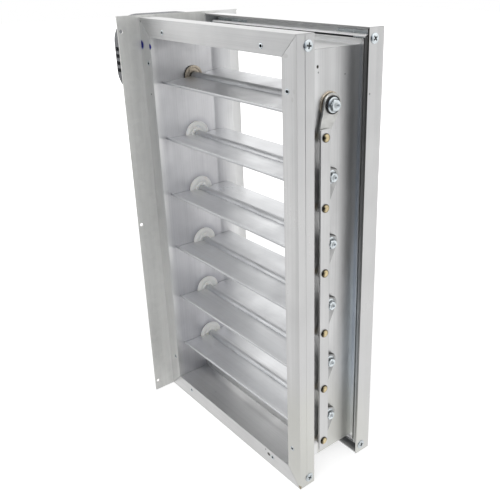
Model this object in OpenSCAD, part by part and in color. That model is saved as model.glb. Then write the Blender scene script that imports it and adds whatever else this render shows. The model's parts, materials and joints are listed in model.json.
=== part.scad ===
// Parallel blade zone damper for a rectangular duct: an extruded frame, six linked blades,
// a side mounting plate and a shaft mounted actuator. Millimetres. X runs along the blade
// shafts from the mounting plate to the linkage side, Y runs with the air, Z is up.
// The origin is the middle of the mounting plate's duct side face.

/* [Frame] */
// Width of the frame along the blade shafts
frame_w = 254; // [200:1:400]
// Height of the frame
frame_h = 457.2; // [440:1:620]
// Depth of the frame in the air stream
frame_d = 101.6; // [96:1:140]
// Face width of the flange seen from the front
flange_face = 19.05; // [18:0.05:26]
// Depth of each flange's outer strip
flange_depth = 19.2; // [16.5:0.1:20]
// Distance from the outer plane to the web's outer face
recess = 15.5; // [15:0.1:18]
// Thickness of the web
web_t = 2.2; // [1.6:0.1:3]
// Thickness of the flange's face wall
wall_t = 1.8; // [1.4:0.1:2.4]
// Thickness of the flange's outer strip
strip_t = 1.6; // [1.2:0.1:2.2]
// Distance of the seal groove behind the middle of the frame
groove_y = 25.8; // [20:0.1:30]
// Width of the seal groove in the duct side of the web
groove_w = 2.6; // [1.5:0.1:4]
// Depth of the seal groove
groove_depth = 1; // [0.5:0.1:1.2]
// Distance of the score line from the face of the frame
score_y = 8.8; // [4:0.1:10]
// Width of the score line on the outer strip
score_w = 0.8; // [0.4:0.1:1.2]
// Depth of the score line
score_depth = 0.4; // [0.2:0.1:0.6]

/* [Corner screws] */
// Distance of the screw boss from the face of the frame
boss_in = 12.2; // [11:0.1:13]
// Distance of the screw boss from the outer plane
boss_down = 9.6; // [8:0.1:10.5]
// Outer radius of the screw boss
boss_r = 2.9; // [2.5:0.1:3.4]
// Radius of the corner screw's shank
corner_shank_r = 1.55; // [1.2:0.05:1.8]
// Radius of the corner screw's pan head
corner_head_r = 4.8; // [3.5:0.1:5.2]
// Height of the corner screw's pan head
corner_head_h = 2.6; // [1.8:0.1:3.2]
// Length of the corner screw's shank
corner_shank_l = 26; // [18:1:40]

/* [Corner brackets] */
// Length of each leg from the frame's outer corner
bracket_leg = 56; // [50:1:80]
// Width of each leg
bracket_w = 10; // [8:0.1:10.2]
// Thickness of the bracket
bracket_t = 1.5; // [1:0.1:2]
// Distance of the rivets from the frame's corner
rivet_along = 46; // [35:1:50]
// Distance of the rivets from the outer plane
rivet_down = 12.4; // [9:0.1:13]
// Radius of the rivet's body
rivet_r = 1.6; // [1.2:0.1:2]
// Radius of the rivet's countersunk head
rivet_head_r = 2.7; // [2.2:0.1:3]

/* [Mounting plate] */
// Thickness of the plate
plate_t = 1.5; // [1:0.1:3]
// Overhang of the plate before and behind the frame
plate_over = 25.4; // [16:0.1:40]
// Overhang of the plate above the frame
plate_top = 2.5; // [0:0.1:6]
// Distance of the screw holes from the plate's long edges
plate_hole_edge = 3.8; // [3.6:0.1:10]
// Distance of the end screw holes from the frame's top and bottom planes
plate_hole_end = 12.8; // [8:0.1:25]
// Radius of the plate's screw holes
plate_hole_r = 2; // [1.5:0.1:3]

/* [Blades] */
// Height from one blade shaft to the next
blade_pitch = 66; // [65:0.5:72]
// Width of a blade in the air stream
blade_chord = 79.5; // [74:0.5:84]
// Thickness of a blade's panels
blade_t = 1.6; // [1.2:0.1:2]
// Height of the lip along a blade's edge above the panel's middle
lip_h = 2.4; // [2:0.1:3.4]
// Outer radius of the tube along a blade's middle
tube_r = 5.2; // [5:0.1:6]
// Gap between a blade's end and the bushing's flange
blade_end_gap = 0.7; // [0.3:0.1:2]
// Angle by which the drive blade trails the others as they close
drive_trail = 6; // [0:1:6]

/* [Blade stops] */
// Width of each stop across the air stream's direction
stop_w = 7.5; // [6:0.1:9]
// Height of each stop above the web
stop_h = 8; // [6.5:0.1:8.5]
// Wall of the stops
stop_t = 1.2; // [0.8:0.1:1.6]
// Distance of a stop's seat from the closed blades' middle
stop_seat = 1.5; // [1.4:0.1:2.5]

/* [Shafts and bushings] */
// Radius of the blade shafts
shaft_r = 4; // [3.5:0.1:4.4]
// Radial running clearance of the shafts
run_gap = 0.05; // [0.02:0.01:0.1]
// Width across the flats at the linkage end of a shaft
tang_af = 6.4; // [5.6:0.1:6.8]
// Outer radius of a bushing's sleeve
sleeve_r = 6.5; // [6:0.1:8]
// How far a sleeve stands out beyond the web
sleeve_out = 1.2; // [0.6:0.1:1.3]
// Radius of a nylon bushing's flange
nylon_flange_r = 15; // [10:0.1:17]
// Thickness of a nylon bushing's flange
nylon_flange_t = 2.6; // [1.5:0.1:3.5]
// Radius of a bronze bushing's flange
bronze_flange_r = 12; // [9:0.1:13]
// Thickness of a bronze bushing's flange
bronze_flange_t = 2; // [1.2:0.1:2.2]
// How far the shafts stand into the recess on the plate side
shaft_out = 6; // [3:0.5:12]

/* [Linkage] */
// Distance from a shaft to its link pin
throw = 29.2; // [24:0.1:29.4]
// Angle of the cranks forward of straight down with the blades open
crank_angle = 20.5; // [15:0.5:30]
// Radius of a crank's hub end
crank_hub_r = 9; // [7:0.1:9.4]
// Radius of a crank's pin end
crank_tip_r = 5.6; // [5:0.1:6.5]
// Thickness of a crank
crank_t = 2; // [1.5:0.1:2.2]
// Gap between the web and the cranks
crank_off = 1.7; // [1.6:0.1:2]
// How far the drive crank's hub is stepped out over the bronze flange
crank_step = 0.6; // [0.4:0.1:1]
// Width of the link bar
bar_w = 12; // [10:0.1:12.4]
// Thickness of the link bar
bar_t = 2; // [1.5:0.1:2.5]
// Gap between the cranks and the link bar
bar_gap = 1.2; // [0.8:0.1:1.6]
// Length of the link bar above the first pin
bar_top = 7.5; // [6.5:0.1:10]
// Length of the link bar below the last pin
bar_bottom = 10; // [6.5:0.1:12]
// Radius of a link pin's shank
pin_r = 2.9; // [2.4:0.1:3.2]
// Radius of a link pin's head and collars
pin_head_r = 4.2; // [3.8:0.1:4.8]
// Height of a link pin's head
pin_head_h = 2.2; // [1.2:0.1:2.6]
// Radial clearance of the link pins in the cranks
pin_gap = 0.25; // [0.15:0.01:0.3]

/* [Linkage screws] */
// Radius of a crank screw's shank
screw_shank_r = 1.65; // [1.4:0.05:2]
// Radius of a crank screw's flange
screw_flange_r = 5; // [4.2:0.1:5.6]
// Width across the flats of a crank screw's head
screw_af = 7; // [6:0.1:8]
// Height of a crank screw's head above its flange
screw_head_h = 3; // [2.5:0.1:4]
// Radius of the drive bolt's shank
bolt_shank_r = 2.4; // [2:0.1:2.6]
// Radius of the drive bolt's flange
bolt_flange_r = 7; // [6:0.1:7.6]
// Width across the flats of the drive bolt's head
bolt_af = 10; // [8:0.1:11]
// Height of the drive bolt's head above its flange
bolt_head_h = 3.2; // [3:0.1:5]
// Radius of the washer under the drive bolt
washer_r = 8.6; // [7.8:0.1:9]
// Thickness of that washer
washer_t = 1.2; // [0.8:0.1:1.6]

/* [Actuator housing] */
// Width of the housing in the air's direction
house_w = 109; // [100:1:120]
// Height of the housing
house_h = 92; // [90:1:130]
// Depth of the housing's bottom below the drive shaft
house_down = 28; // [27:0.5:34]
// Radius of the housing's corners
house_corner = 30; // [24:1:32]
// Depth of the base tray
base_depth = 15; // [12:1:20]
// Depth of the cover
cover_depth = 45; // [40:1:60]
// Wall of the base and the cover
house_wall = 2.6; // [2:0.1:3.4]
// Width of the rounded edge round the cover's outer face
cover_round = 8; // [4:1:10]
// Distance of the cover screws from the housing's front and rear sides
cover_screw_side = 10; // [9:0.5:14]
// Distance of the cover screws from the housing's top and bottom
cover_screw_end = 23.5; // [20:0.5:26]
// Depth of the cover screws' seats
cover_screw_seat = 1.6; // [1:0.1:1.8]
// Height of each cooling slot in the cover's sides
slot_h = 4.4; // [3:0.1:5]
// Height from one cooling slot to the next
slot_pitch = 7.8; // [7:0.1:9]
// Radius of the manual release button
button_r = 6; // [4:0.1:8]
// Travel of the manual release button
button_travel = 3; // [2:0.1:4]

/* [Actuator gears] */
// Module of the output gear and the idler's pinion
gear_m = 1.1; // [1.08:0.01:1.12]
// Module of the idler's wheel and the motor's pinion
fine_m = 0.8; // [0.75:0.01:0.82]
// Teeth of the output gear and of the idler's wheel
wheel_teeth = 42; // [42:1:43]
// Teeth of both pinions
pinion_teeth = 14; // [14:1:15]
// Width of the output gear's teeth
gear_t = 6; // [4:0.1:7]
// Width of the idler wheel's teeth
fine_t = 3.4; // [2:0.1:3.6]
// Radius of the hub on the drive shaft
hub_r = 8.5; // [7:0.1:9]
// Radius of the motor
motor_r = 13; // [10:0.1:14]
// Length of the motor
motor_l = 26; // [20:1:28]
// Radius of the idler's spindle and the motor's shaft
spindle_r = 2; // [1.5:0.1:2.4]

/* [Hidden] */
$fn = 48;
eps = 0.01;
blade_count = 6;
half_w = frame_w / 2;
half_d = frame_d / 2;
half_h = frame_h / 2;
shaft_z = [for (i = [0:blade_count - 1]) ((blade_count - 1) / 2 - i) * blade_pitch];
drive_z = shaft_z[0];
lip_in = flange_face - recess - web_t;
wall_left = flange_face - lip_in;
wall_right = frame_w - wall_left;
web_left = recess;
web_right = frame_w - recess;
blade_x0 = wall_left + nylon_flange_t + blade_end_gap;
blade_x1 = wall_right - nylon_flange_t - blade_end_gap;
crank_x = web_right + crank_off;
bar_x = crank_x + crank_t + bar_gap;
pin_y = -throw * sin(crank_angle);
pin_drop = throw * cos(crank_angle);
boss_y = half_d - boss_in;
corner_z = half_h - boss_down;
house_low = drive_z - house_down;
house_top = house_low + house_h;
house_mid = house_top - house_h / 2;
base_x = -plate_t - base_depth;
cover_x = base_x - cover_depth;
floor_x = -plate_t - house_wall;
gear_x = floor_x - 1.5;
fine_x = gear_x - gear_t - 1.2;
gear_plate_t = 1.5;
gear_plate_x = fine_x - fine_t - 1.4;
idler_up = gear_m * (wheel_teeth + pinion_teeth) / 2;
motor_arm = fine_m * (wheel_teeth + pinion_teeth) / 2;
motor_turn = 15;
motor_y = motor_arm * cos(motor_turn);
motor_up = idler_up + motor_arm * sin(motor_turn);
post_r = 4;
post_y = 34;
post_low = 14 - house_down;
post_high = 30;
base_screw_y = 27;
base_screw_low = house_low + 8;
base_screw_high = house_top - 14.5;
button_z = house_low + 20;
board_t = 1.6;
board_w = 64;
board_h = 12;
board_low = house_low + house_wall + 3;
board_x = gear_plate_x - 4;
ways = 3;
way = 5;
block_d = 10;
block_h = 9;
small_head_r = 3.4;
small_head_h = 2.2;
screw_bite = 2.5;
hub_l = 8;
set_screw_r = 1.45;
cover_screw_y = house_w / 2 - cover_screw_side;
cover_screw_low = house_low + cover_screw_end;
cover_screw_high = house_top - cover_screw_end;
frame_grey = [0.74, 0.75, 0.76];
blade_grey = [0.78, 0.79, 0.81];
plate_grey = [0.55, 0.57, 0.54];
zinc = [0.8, 0.83, 0.86];
brass = [0.78, 0.62, 0.3];
dark_plastic = [0.24, 0.25, 0.28];

// Carries a sketch, drawn with Y to its right and Z up, along X from x0 for a length
module along_x(x0, length) {
    translate([x0, 0, 0])
        rotate([90, 0, 90])
            linear_extrude(length)
                children();
}

// A rod along X
module rod_x(x0, length, r) {
    translate([x0, 0, 0])
        rotate([0, 90, 0])
            cylinder(h = length, r = r);
}

// One half of the frame's section, its face wall at -half_d and its outer plane at zero
module half_section() {
    translate([-half_d, -flange_face])
        square([wall_t, flange_face]);
    translate([-half_d, -recess - web_t])
        square([half_d + eps, web_t]);
    difference() {
        translate([-half_d, -strip_t])
            square([flange_depth, strip_t]);
        translate([-half_d + score_y - score_w / 2, -score_depth])
            square([score_w, score_depth + eps]);
    }
    difference() {
        union() {
            translate([-boss_y, -boss_down])
                circle(boss_r);
            translate([-boss_y - strip_t / 2, -recess - eps])
                square([strip_t, recess - boss_down]);
        }
        translate([-boss_y, -boss_down])
            circle(corner_shank_r + run_gap);
        translate([-boss_y, -boss_down - corner_shank_r / 2])
            square([boss_r + 1, corner_shank_r]);
    }
}

// The whole section, with the seal groove in the duct side of the web
module frame_section() {
    difference() {
        union() {
            half_section();
            mirror([1, 0])
                half_section();
        }
        translate([groove_y - groove_w / 2, -recess - web_t - eps])
            square([groove_w, groove_depth + eps]);
    }
}

// A length of the section lying along X with its outer plane up, mitred at both ends
module mitred_channel(length) {
    intersection() {
        along_x(-length / 2, length)
            frame_section();
        rotate([90, 0, 0])
            linear_extrude(frame_d + 2, center = true)
                polygon([[-length / 2, 0], [length / 2, 0],
                    [length / 2 - flange_face, -flange_face],
                    [-length / 2 + flange_face, -flange_face]]);
    }
}

// Countersunk holes for the rivets through the two face walls, at each end of a channel along X
module rivet_holes(length) {
    for (side = [-1, 1])
        for (face = [0, 1])
            mirror([0, face, 0])
                translate([side * (length / 2 - rivet_along), -half_d, -rivet_down])
                    rotate([-90, 0, 0]) {
                        translate([0, 0, -1])
                            cylinder(h = wall_t + 2, r = rivet_r + run_gap);
                        translate([0, 0, -eps])
                            cylinder(h = rivet_head_r - rivet_r + eps,
                                r1 = rivet_head_r + eps, r2 = rivet_r);
                    }
}

module side_channel(x_outer, tilt) {
    difference() {
        translate([x_outer, 0, 0])
            rotate([0, tilt, 0])
                difference() {
                    mitred_channel(frame_h);
                    rivet_holes(frame_h);
                }
        for (z = shaft_z)
            translate([0, 0, z])
                rod_x(x_outer - flange_face - 1, 2 * flange_face + 2, sleeve_r + run_gap);
        for (side = [-1, 1])
            for (end = [-1, 1])
                translate([0, side * boss_y, end * corner_z])
                    rod_x(x_outer - 1.4 * boss_down, 2.8 * boss_down, corner_shank_r + 0.3);
    }
}

module side_channel_left() {
    color(frame_grey)
        side_channel(0, -90);
}

module side_channel_right() {
    color(frame_grey)
        side_channel(frame_w, 90);
}

module top_channel() {
    color(frame_grey)
        translate([half_w, 0, half_h])
            difference() {
                mitred_channel(frame_w);
                rivet_holes(frame_w);
            }
}

module bottom_channel() {
    color(frame_grey)
        translate([half_w, 0, -half_h])
            mirror([0, 0, 1])
                difference() {
                    mitred_channel(frame_w);
                    rivet_holes(frame_w);
                }
}

// Runs its children at the four corners of both faces, with the corner at the origin,
// the legs along +X and +Z and the face wall's inner side at zero
module at_face_corners() {
    for (face = [0, 1])
        mirror([0, face, 0])
            for (side = [0, 1])
                translate([half_w, 0, 0])
                    mirror([side, 0, 0])
                        for (end = [0, 1])
                            mirror([0, 0, end])
                                translate([-half_w, -half_d, -half_h])
                                    children();
}

module bracket() {
    near = recess - 0.3 - bracket_w;
    translate([0, wall_t + bracket_t, 0])
        rotate([90, 0, 0])
            linear_extrude(bracket_t)
                difference() {
                    polygon([[near, near], [bracket_leg, near],
                        [bracket_leg, near + bracket_w], [near + bracket_w, near + bracket_w],
                        [near + bracket_w, bracket_leg], [near, bracket_leg]]);
                    translate([rivet_along, rivet_down])
                        circle(rivet_r + run_gap);
                    translate([rivet_down, rivet_along])
                        circle(rivet_r + run_gap);
                }
}

module corner_brackets() {
    color(zinc)
        at_face_corners()
            bracket();
}

// A blind rivet whose countersunk head is flush with the face, drawn along its own axis
module rivet() {
    head_h = rivet_head_r - rivet_r;
    core_r = 0.9;
    tail = wall_t + bracket_t;
    rotate([-90, 0, 0])
        rotate_extrude()
            polygon([[core_r, 0], [rivet_head_r, 0], [rivet_r, head_h], [rivet_r, tail],
                [rivet_r + 0.8, tail], [rivet_r + 0.5, tail + 1.8], [0, tail + 2.2],
                [0, head_h], [core_r, head_h]]);
}

module flange_rivets() {
    color(frame_grey)
        at_face_corners() {
            translate([rivet_along, 0, rivet_down])
                rivet();
            translate([rivet_down, 0, rivet_along])
                rivet();
        }
}

// A pan head screw with a cross recess, its head's seat at x = 0 and its shank along -X
module pan_screw(shank_r, shank_l, head_r, head_h) {
    difference() {
        union() {
            rotate([0, 90, 0])
                rotate_extrude()
                    polygon([[0, 0], [head_r, 0], [head_r, head_h * 0.35],
                        [head_r * 0.86, head_h * 0.72], [head_r * 0.55, head_h * 0.95],
                        [0, head_h]]);
            rod_x(-shank_l, shank_l + eps, shank_r);
        }
        for (turn = [0, 90])
            rotate([turn, 0, 0])
                translate([head_h * 0.45, -head_r * 0.55, -head_r * 0.11])
                    cube([head_h, head_r * 1.1, head_r * 0.22]);
    }
}

module corner_screws() {
    color(zinc)
        for (side = [-1, 1])
            for (end = [-1, 1])
                translate([frame_w, side * boss_y, end * corner_z])
                    rotate([side * 20 + end * 12, 0, 0])
                        pan_screw(corner_shank_r, corner_shank_l, corner_head_r, corner_head_h);
}

module plate_screws() {
    color(zinc)
        for (side = [-1, 1])
            for (end = [-1, 1])
                translate([-plate_t, side * boss_y, end * corner_z])
                    mirror([1, 0, 0])
                        pan_screw(corner_shank_r, corner_shank_l, corner_head_r, corner_head_h);
}

// Two inverted channels, seated on the bottom and the top web, that the closing blades meet
module blade_stops() {
    color(frame_grey)
        for (end = [-1, 1])
            rotate([90 + end * 90, 0, 0])
                translate([0, -stop_seat - stop_w, recess + web_t - half_h])
                    along_x(wall_left + 0.3, wall_right - wall_left - 0.6)
                        difference() {
                            square([stop_w, stop_h]);
                            translate([stop_t, -eps])
                                square([stop_w - 2 * stop_t, stop_h - stop_t + eps]);
                        }
}

module mounting_plate() {
    color(plate_grey)
        difference() {
            translate([-plate_t, -half_d - plate_over, -half_h])
                cube([plate_t, frame_d + 2 * plate_over, frame_h + plate_top]);
            for (side = [-1, 1])
                for (end = [-1, 0, 1])
                    translate([0, side * (half_d + plate_over - plate_hole_edge),
                            end * (half_h - plate_hole_end)])
                        rod_x(-plate_t - 1, plate_t + 2, plate_hole_r);
            for (side = [-1, 1])
                for (end = [-1, 1])
                    translate([0, side * boss_y, end * corner_z])
                        rod_x(-plate_t - 1, plate_t + 2, corner_shank_r + 0.3);
            translate([0, 0, drive_z])
                rod_x(-plate_t - 1, plate_t + 2, shaft_r + 3);
            base_screw_places()
                rod_x(-plate_t - 1, plate_t + 2, screw_shank_r + 0.1);
        }
}

// A flanged bushing whose flange starts at x = 0 and whose sleeve runs along -X
module bushing(flange_r, flange_t, sleeve_l) {
    rotate([0, 90, 0])
        rotate_extrude()
            polygon([[shaft_r + run_gap, -sleeve_l], [sleeve_r, -sleeve_l], [sleeve_r, 0],
                [flange_r, 0], [flange_r, flange_t - 0.4], [flange_r - 0.4, flange_t],
                [shaft_r + run_gap, flange_t]]);
}

module bronze_bushings() {
    color([0.66, 0.5, 0.32]) {
        translate([wall_left, 0, drive_z])
            bushing(bronze_flange_r, bronze_flange_t, web_t + sleeve_out);
        translate([web_right, 0, drive_z])
            bushing(bronze_flange_r, bronze_flange_t, web_t + sleeve_out);
    }
}

module nylon_bushings() {
    color([0.93, 0.93, 0.9])
        for (i = [1:blade_count - 1]) {
            translate([wall_left, 0, shaft_z[i]])
                bushing(nylon_flange_r, nylon_flange_t, web_t + sleeve_out);
            translate([wall_right, 0, shaft_z[i]])
                mirror([1, 0, 0])
                    bushing(nylon_flange_r, nylon_flange_t, web_t + sleeve_out);
        }
}

// One panel of a blade from its tube to its edge, with the lip turned up along the edge
module blade_wing() {
    edge = blade_chord / 2;
    translate([-edge, -blade_t / 2])
        square([edge - shaft_r - 0.6, blade_t]);
    translate([-edge, -blade_t / 2])
        square([blade_t, lip_h]);
    translate([-edge + blade_t / 2, lip_h - blade_t / 2])
        circle(blade_t / 2, $fn = 24);
}

module blade_section() {
    difference() {
        union() {
            circle(tube_r);
            blade_wing();
            rotate(180)
                blade_wing();
        }
        circle(shaft_r + run_gap);
    }
}

module blade(i, trail) {
    color(blade_grey)
        translate([0, 0, shaft_z[i]])
            rotate([trail, 0, 0])
                along_x(blade_x0, blade_x1 - blade_x0)
                    blade_section();
}

// Section of the flatted end of a shaft
module tang(gap) {
    intersection() {
        circle(shaft_r + gap);
        square([2 * shaft_r + 1, tang_af + 2 * gap], center = true);
    }
}

// A shaft round from x0 to x1, then flatted to x2, with a screw hole in that end
module shaft(i, x0, x1, x2, hole_r) {
    screw_depth = 14;
    translate([0, 0, shaft_z[i]])
        difference() {
            rod_x(x0, x2 - x0, shaft_r);
            rotate([-crank_angle, 0, 0])
                for (side = [0, 1])
                    mirror([0, 0, side])
                        translate([x1, -2 * shaft_r, tang_af / 2])
                            cube([x2 - x1 + 1, 4 * shaft_r, shaft_r]);
            rod_x(x2 - screw_depth, screw_depth + 1, hole_r);
        }
}

module drive_shaft() {
    color(zinc)
        shaft(0, gear_plate_x - gear_plate_t - 6, crank_x + crank_step - 0.1,
            crank_x + crank_step + crank_t, bolt_shank_r);
}

module idler_shaft(i) {
    color(zinc)
        shaft(i, web_left - shaft_out, crank_x - 0.1, crank_x + crank_t, screw_shank_r);
}

// A crank's blank along X from x0, its hub at the origin and its pin end straight down
module crank_blank(x0, length, hub_end_r) {
    tip_half = crank_tip_r - 0.1;
    hub_half = hub_end_r - 0.1;
    difference() {
        union() {
            rod_x(x0, length, hub_end_r);
            translate([0, 0, -throw])
                rod_x(x0, length, crank_tip_r);
            along_x(x0, length)
                polygon([[-hub_half, 0], [hub_half, 0], [tip_half, -throw], [-tip_half, -throw]]);
        }
        along_x(x0 - 1, length + 2)
            tang(run_gap);
        translate([0, 0, -throw])
            rod_x(x0 - 1, length + 2, pin_r + pin_gap);
    }
}

module crank(i) {
    color(zinc)
        translate([0, 0, shaft_z[i]])
            rotate([-crank_angle, 0, 0])
                crank_blank(crank_x, crank_t, crank_hub_r);
}

// The drive crank is stepped: its hub stands out over the bronze flange
module drive_crank() {
    bend = bronze_flange_r + 0.6;
    hub_x = crank_x + crank_step;
    color(zinc)
        translate([0, 0, drive_z])
            rotate([-crank_angle, 0, 0])
                intersection() {
                    crank_blank(crank_x - 1, crank_t + crank_step + 2, crank_hub_r + 0.8);
                    rotate([90, 0, 0])
                        linear_extrude(4 * crank_hub_r, center = true)
                            polygon([[hub_x, crank_hub_r + 2], [hub_x, -bend],
                                [crank_x, -bend - 2], [crank_x, -throw - crank_hub_r],
                                [crank_x + crank_t, -throw - crank_hub_r],
                                [crank_x + crank_t, -bend - 2], [hub_x + crank_t, -bend],
                                [hub_x + crank_t, crank_hub_r + 2]]);
                }
}

module drive_washer() {
    color([0.08, 0.08, 0.09])
        translate([crank_x + crank_step + crank_t, 0, drive_z])
            rotate([0, 90, 0])
                difference() {
                    cylinder(h = washer_t, r = washer_r);
                    translate([0, 0, -1])
                        cylinder(h = washer_t + 2, r = bolt_shank_r + 0.2);
                }
}

// A flanged hexagon head screw, its seat at x = 0 and its shank along -X
module hex_screw(shank_r, shank_l, flange_r, af, head_h) {
    flange_t = 1.2;
    rotate([0, 90, 0])
        rotate_extrude()
            polygon([[0, 0], [flange_r, 0], [flange_r, 0.5], [af / 2, flange_t], [0, flange_t]]);
    rotate([0, 90, 0])
        cylinder(h = flange_t + head_h, r = af / 2 / cos(30), $fn = 6);
    rod_x(-shank_l, shank_l + eps, shank_r);
}

module drive_bolt() {
    color(zinc)
        translate([crank_x + crank_step + crank_t + washer_t, 0, drive_z])
            hex_screw(bolt_shank_r, 12, bolt_flange_r, bolt_af, bolt_head_h);
}

module crank_screw(i) {
    color(zinc)
        translate([crank_x + crank_t, 0, shaft_z[i]])
            rotate([i * 17, 0, 0])
                hex_screw(screw_shank_r, 10, screw_flange_r, screw_af, screw_head_h);
}

module link_bar() {
    top = drive_z - pin_drop + bar_top;
    bottom = shaft_z[blade_count - 1] - pin_drop - bar_bottom;
    color(frame_grey)
        along_x(bar_x, bar_t)
            difference() {
                translate([pin_y - bar_w / 2, bottom])
                    square([bar_w, top - bottom]);
                for (z = shaft_z)
                    translate([pin_y, z - pin_drop])
                        circle(pin_r);
            }
}

module link_pins() {
    tail = 0.9;
    back = crank_x - 0.3;
    front = bar_x + bar_t;
    color(brass)
        for (z = shaft_z)
            translate([0, pin_y, z - pin_drop])
                rotate([0, 90, 0])
                    rotate_extrude()
                        polygon([[0, back - tail], [pin_head_r - 0.5, back - tail],
                            [pin_head_r - 0.5, back], [pin_r, back],
                            [pin_r, crank_x + crank_t + 0.3],
                            [pin_head_r, crank_x + crank_t + 0.3], [pin_head_r, bar_x],
                            [pin_r, bar_x], [pin_r, front], [pin_head_r, front],
                            [pin_head_r, front + pin_head_h * 0.3],
                            [pin_head_r * 0.9, front + pin_head_h * 0.62],
                            [pin_head_r * 0.7, front + pin_head_h * 0.86],
                            [pin_head_r * 0.4, front + pin_head_h], [0, front + pin_head_h]]);
}

// Rounded rectangle of the housing, drawn inwards by a margin
module house_outline(margin) {
    r = house_corner - margin;
    w = house_w - 2 * margin;
    h = house_h - 2 * margin;
    translate([0, house_mid]) {
        square([w - 2 * r, h], center = true);
        square([w, h - 2 * r], center = true);
        for (side = [-1, 1])
            for (end = [-1, 1])
                translate([side * (w / 2 - r), end * (h / 2 - r)])
                    circle(r);
    }
}

// Runs its children at the four screws that hold the base to the plate
module base_screw_places() {
    for (side = [-1, 1])
        for (z = [base_screw_low, base_screw_high])
            translate([0, side * base_screw_y, z])
                children();
}

// Runs its children at the four screws that hold the cover to the base
module cover_screw_places() {
    for (side = [-1, 1])
        for (z = [cover_screw_low, cover_screw_high])
            translate([0, side * cover_screw_y, z])
                children();
}

module grommet_place() {
    translate([base_x - 12, 0, house_low])
        children();
}

module actuator_base() {
    color(dark_plastic)
        difference() {
            union() {
                along_x(floor_x, house_wall)
                    house_outline(0);
                along_x(base_x, base_depth)
                    difference() {
                        house_outline(0);
                        house_outline(house_wall);
                    }
                for (side = [-1, 1])
                    for (z = [post_low, post_high])
                        translate([0, side * post_y, drive_z + z])
                            rod_x(gear_plate_x, floor_x - gear_plate_x + eps, post_r);
                cover_screw_places()
                    rod_x(base_x, floor_x - base_x + eps, post_r);
                translate([0, 0, drive_z + idler_up])
                    rod_x(gear_x + 0.5, floor_x - gear_x - 0.5 + eps, post_r);
            }
            translate([0, 0, drive_z])
                rod_x(floor_x - 1, house_wall + 2, shaft_r + 3);
            translate([0, 0, drive_z + idler_up])
                rod_x(floor_x - 2, 4, spindle_r);
            base_screw_places()
                rod_x(floor_x - 1, house_wall + 2, screw_shank_r + 0.1);
            cover_screw_places()
                rod_x(base_x - 1, base_depth / 2 + 2.5, screw_shank_r);
            for (side = [-1, 1])
                translate([0, side * boss_y, corner_z])
                    rod_x(floor_x - 1, house_wall + 2, corner_head_r + 0.3);
        }
}

// The cover: a rounded shell with cooling slots in its front and rear sides
module actuator_cover() {
    slots = 4;
    color(dark_plastic)
        difference() {
            hull() {
                along_x(cover_x + cover_round, cover_depth - cover_round)
                    house_outline(0, $fn = 32);
                along_x(cover_x + cover_round * 0.3, 1)
                    house_outline(cover_round * 0.3, $fn = 32);
                along_x(cover_x, 1)
                    house_outline(cover_round, $fn = 32);
            }
            along_x(cover_x + house_wall, cover_depth - house_wall + eps)
                house_outline(cover_round - house_wall);
            along_x(cover_x + cover_round, cover_depth - cover_round + eps)
                house_outline(house_wall);
            for (side = [-1, 1])
                for (k = [0:slots - 1])
                    translate([cover_x + 4, side * house_w / 2 - 4,
                            drive_z + 2 + k * slot_pitch])
                        cube([cover_depth * 0.6, 8, slot_h]);
            translate([0, 0, button_z])
                rod_x(cover_x - 1, house_wall + 2, button_r + 0.3);
            cover_screw_places() {
                rod_x(cover_x - 1, cover_depth + 2, screw_shank_r + 0.2);
                rod_x(cover_x - 1, 1 + cover_screw_seat, small_head_r + 0.4);
            }
            grommet_place()
                cylinder(h = 4 * house_wall, r = 7, center = true);
        }
    color(dark_plastic)
        cover_screw_places()
            difference() {
                rod_x(cover_x + house_wall - eps, cover_depth - house_wall + eps, post_r);
                rod_x(cover_x - 1, cover_depth + 2, screw_shank_r + 0.2);
            }
}

module base_screws() {
    color(zinc)
        base_screw_places()
            translate([floor_x, 0, 0])
                mirror([1, 0, 0])
                    pan_screw(screw_shank_r, house_wall + plate_t + screw_bite, small_head_r,
                        small_head_h);
}

module cover_screws() {
    color(zinc)
        cover_screw_places()
            translate([cover_x + cover_screw_seat, 0, 0])
                mirror([1, 0, 0])
                    pan_screw(screw_shank_r - 0.05, cover_depth + base_depth / 2 - 2, small_head_r,
                        small_head_h);
}

module gear_plate() {
    plate_edge = 5;
    low = drive_z + post_low - plate_edge;
    high = drive_z + post_high + plate_edge;
    color(zinc)
        along_x(gear_plate_x - gear_plate_t, gear_plate_t)
            difference() {
                union() {
                    translate([-post_y - plate_edge, low])
                        square([2 * (post_y + plate_edge), high - low]);
                    translate([-spindle_r * 10, high - eps])
                        square([motor_y + motor_r + 3 + spindle_r * 10,
                            drive_z + motor_up + spindle_r * 4 - high]);
                }
                translate([0, drive_z])
                    circle(hub_r + 0.5);
                translate([0, drive_z + idler_up])
                    circle(spindle_r);
                translate([motor_y, drive_z + motor_up])
                    circle(spindle_r + 1.5);
            }
}

// Polar half width, in degrees, of an involute tooth at radius r
function involute(t) = tan(t) * 180 / PI - t;
function tooth_half(m, z, r) =
    let (rb = m * z * cos(20) / 2)
    90 / z - 1.2 * 180 / PI * 0.1 / z + involute(20) - involute(acos(min(1, rb / r)));
function tooth_points(m, z, mid) =
    let (rb = m * z * cos(20) / 2)
    let (root = m * (z / 2 - 1.15))
    let (tip = m * (z / 2 + 0.8))
    let (low = max(rb, root))
    let (radii = [root, low, low + (tip - low) * 0.35, low + (tip - low) * 0.7, tip])
    concat(
        [for (k = [0:4]) let (a = mid - tooth_half(m, z, max(radii[k], low)))
            [radii[k] * cos(a), radii[k] * sin(a)]],
        [for (k = [4:-1:0]) let (a = mid + tooth_half(m, z, max(radii[k], low)))
            [radii[k] * cos(a), radii[k] * sin(a)]]);

// A spur gear's outline with the middle of one tooth at the angle given
module gear_outline(m, z, turn) {
    polygon([for (k = [0:z - 1]) each tooth_points(m, z, turn + k * 360 / z)]);
}

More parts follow.
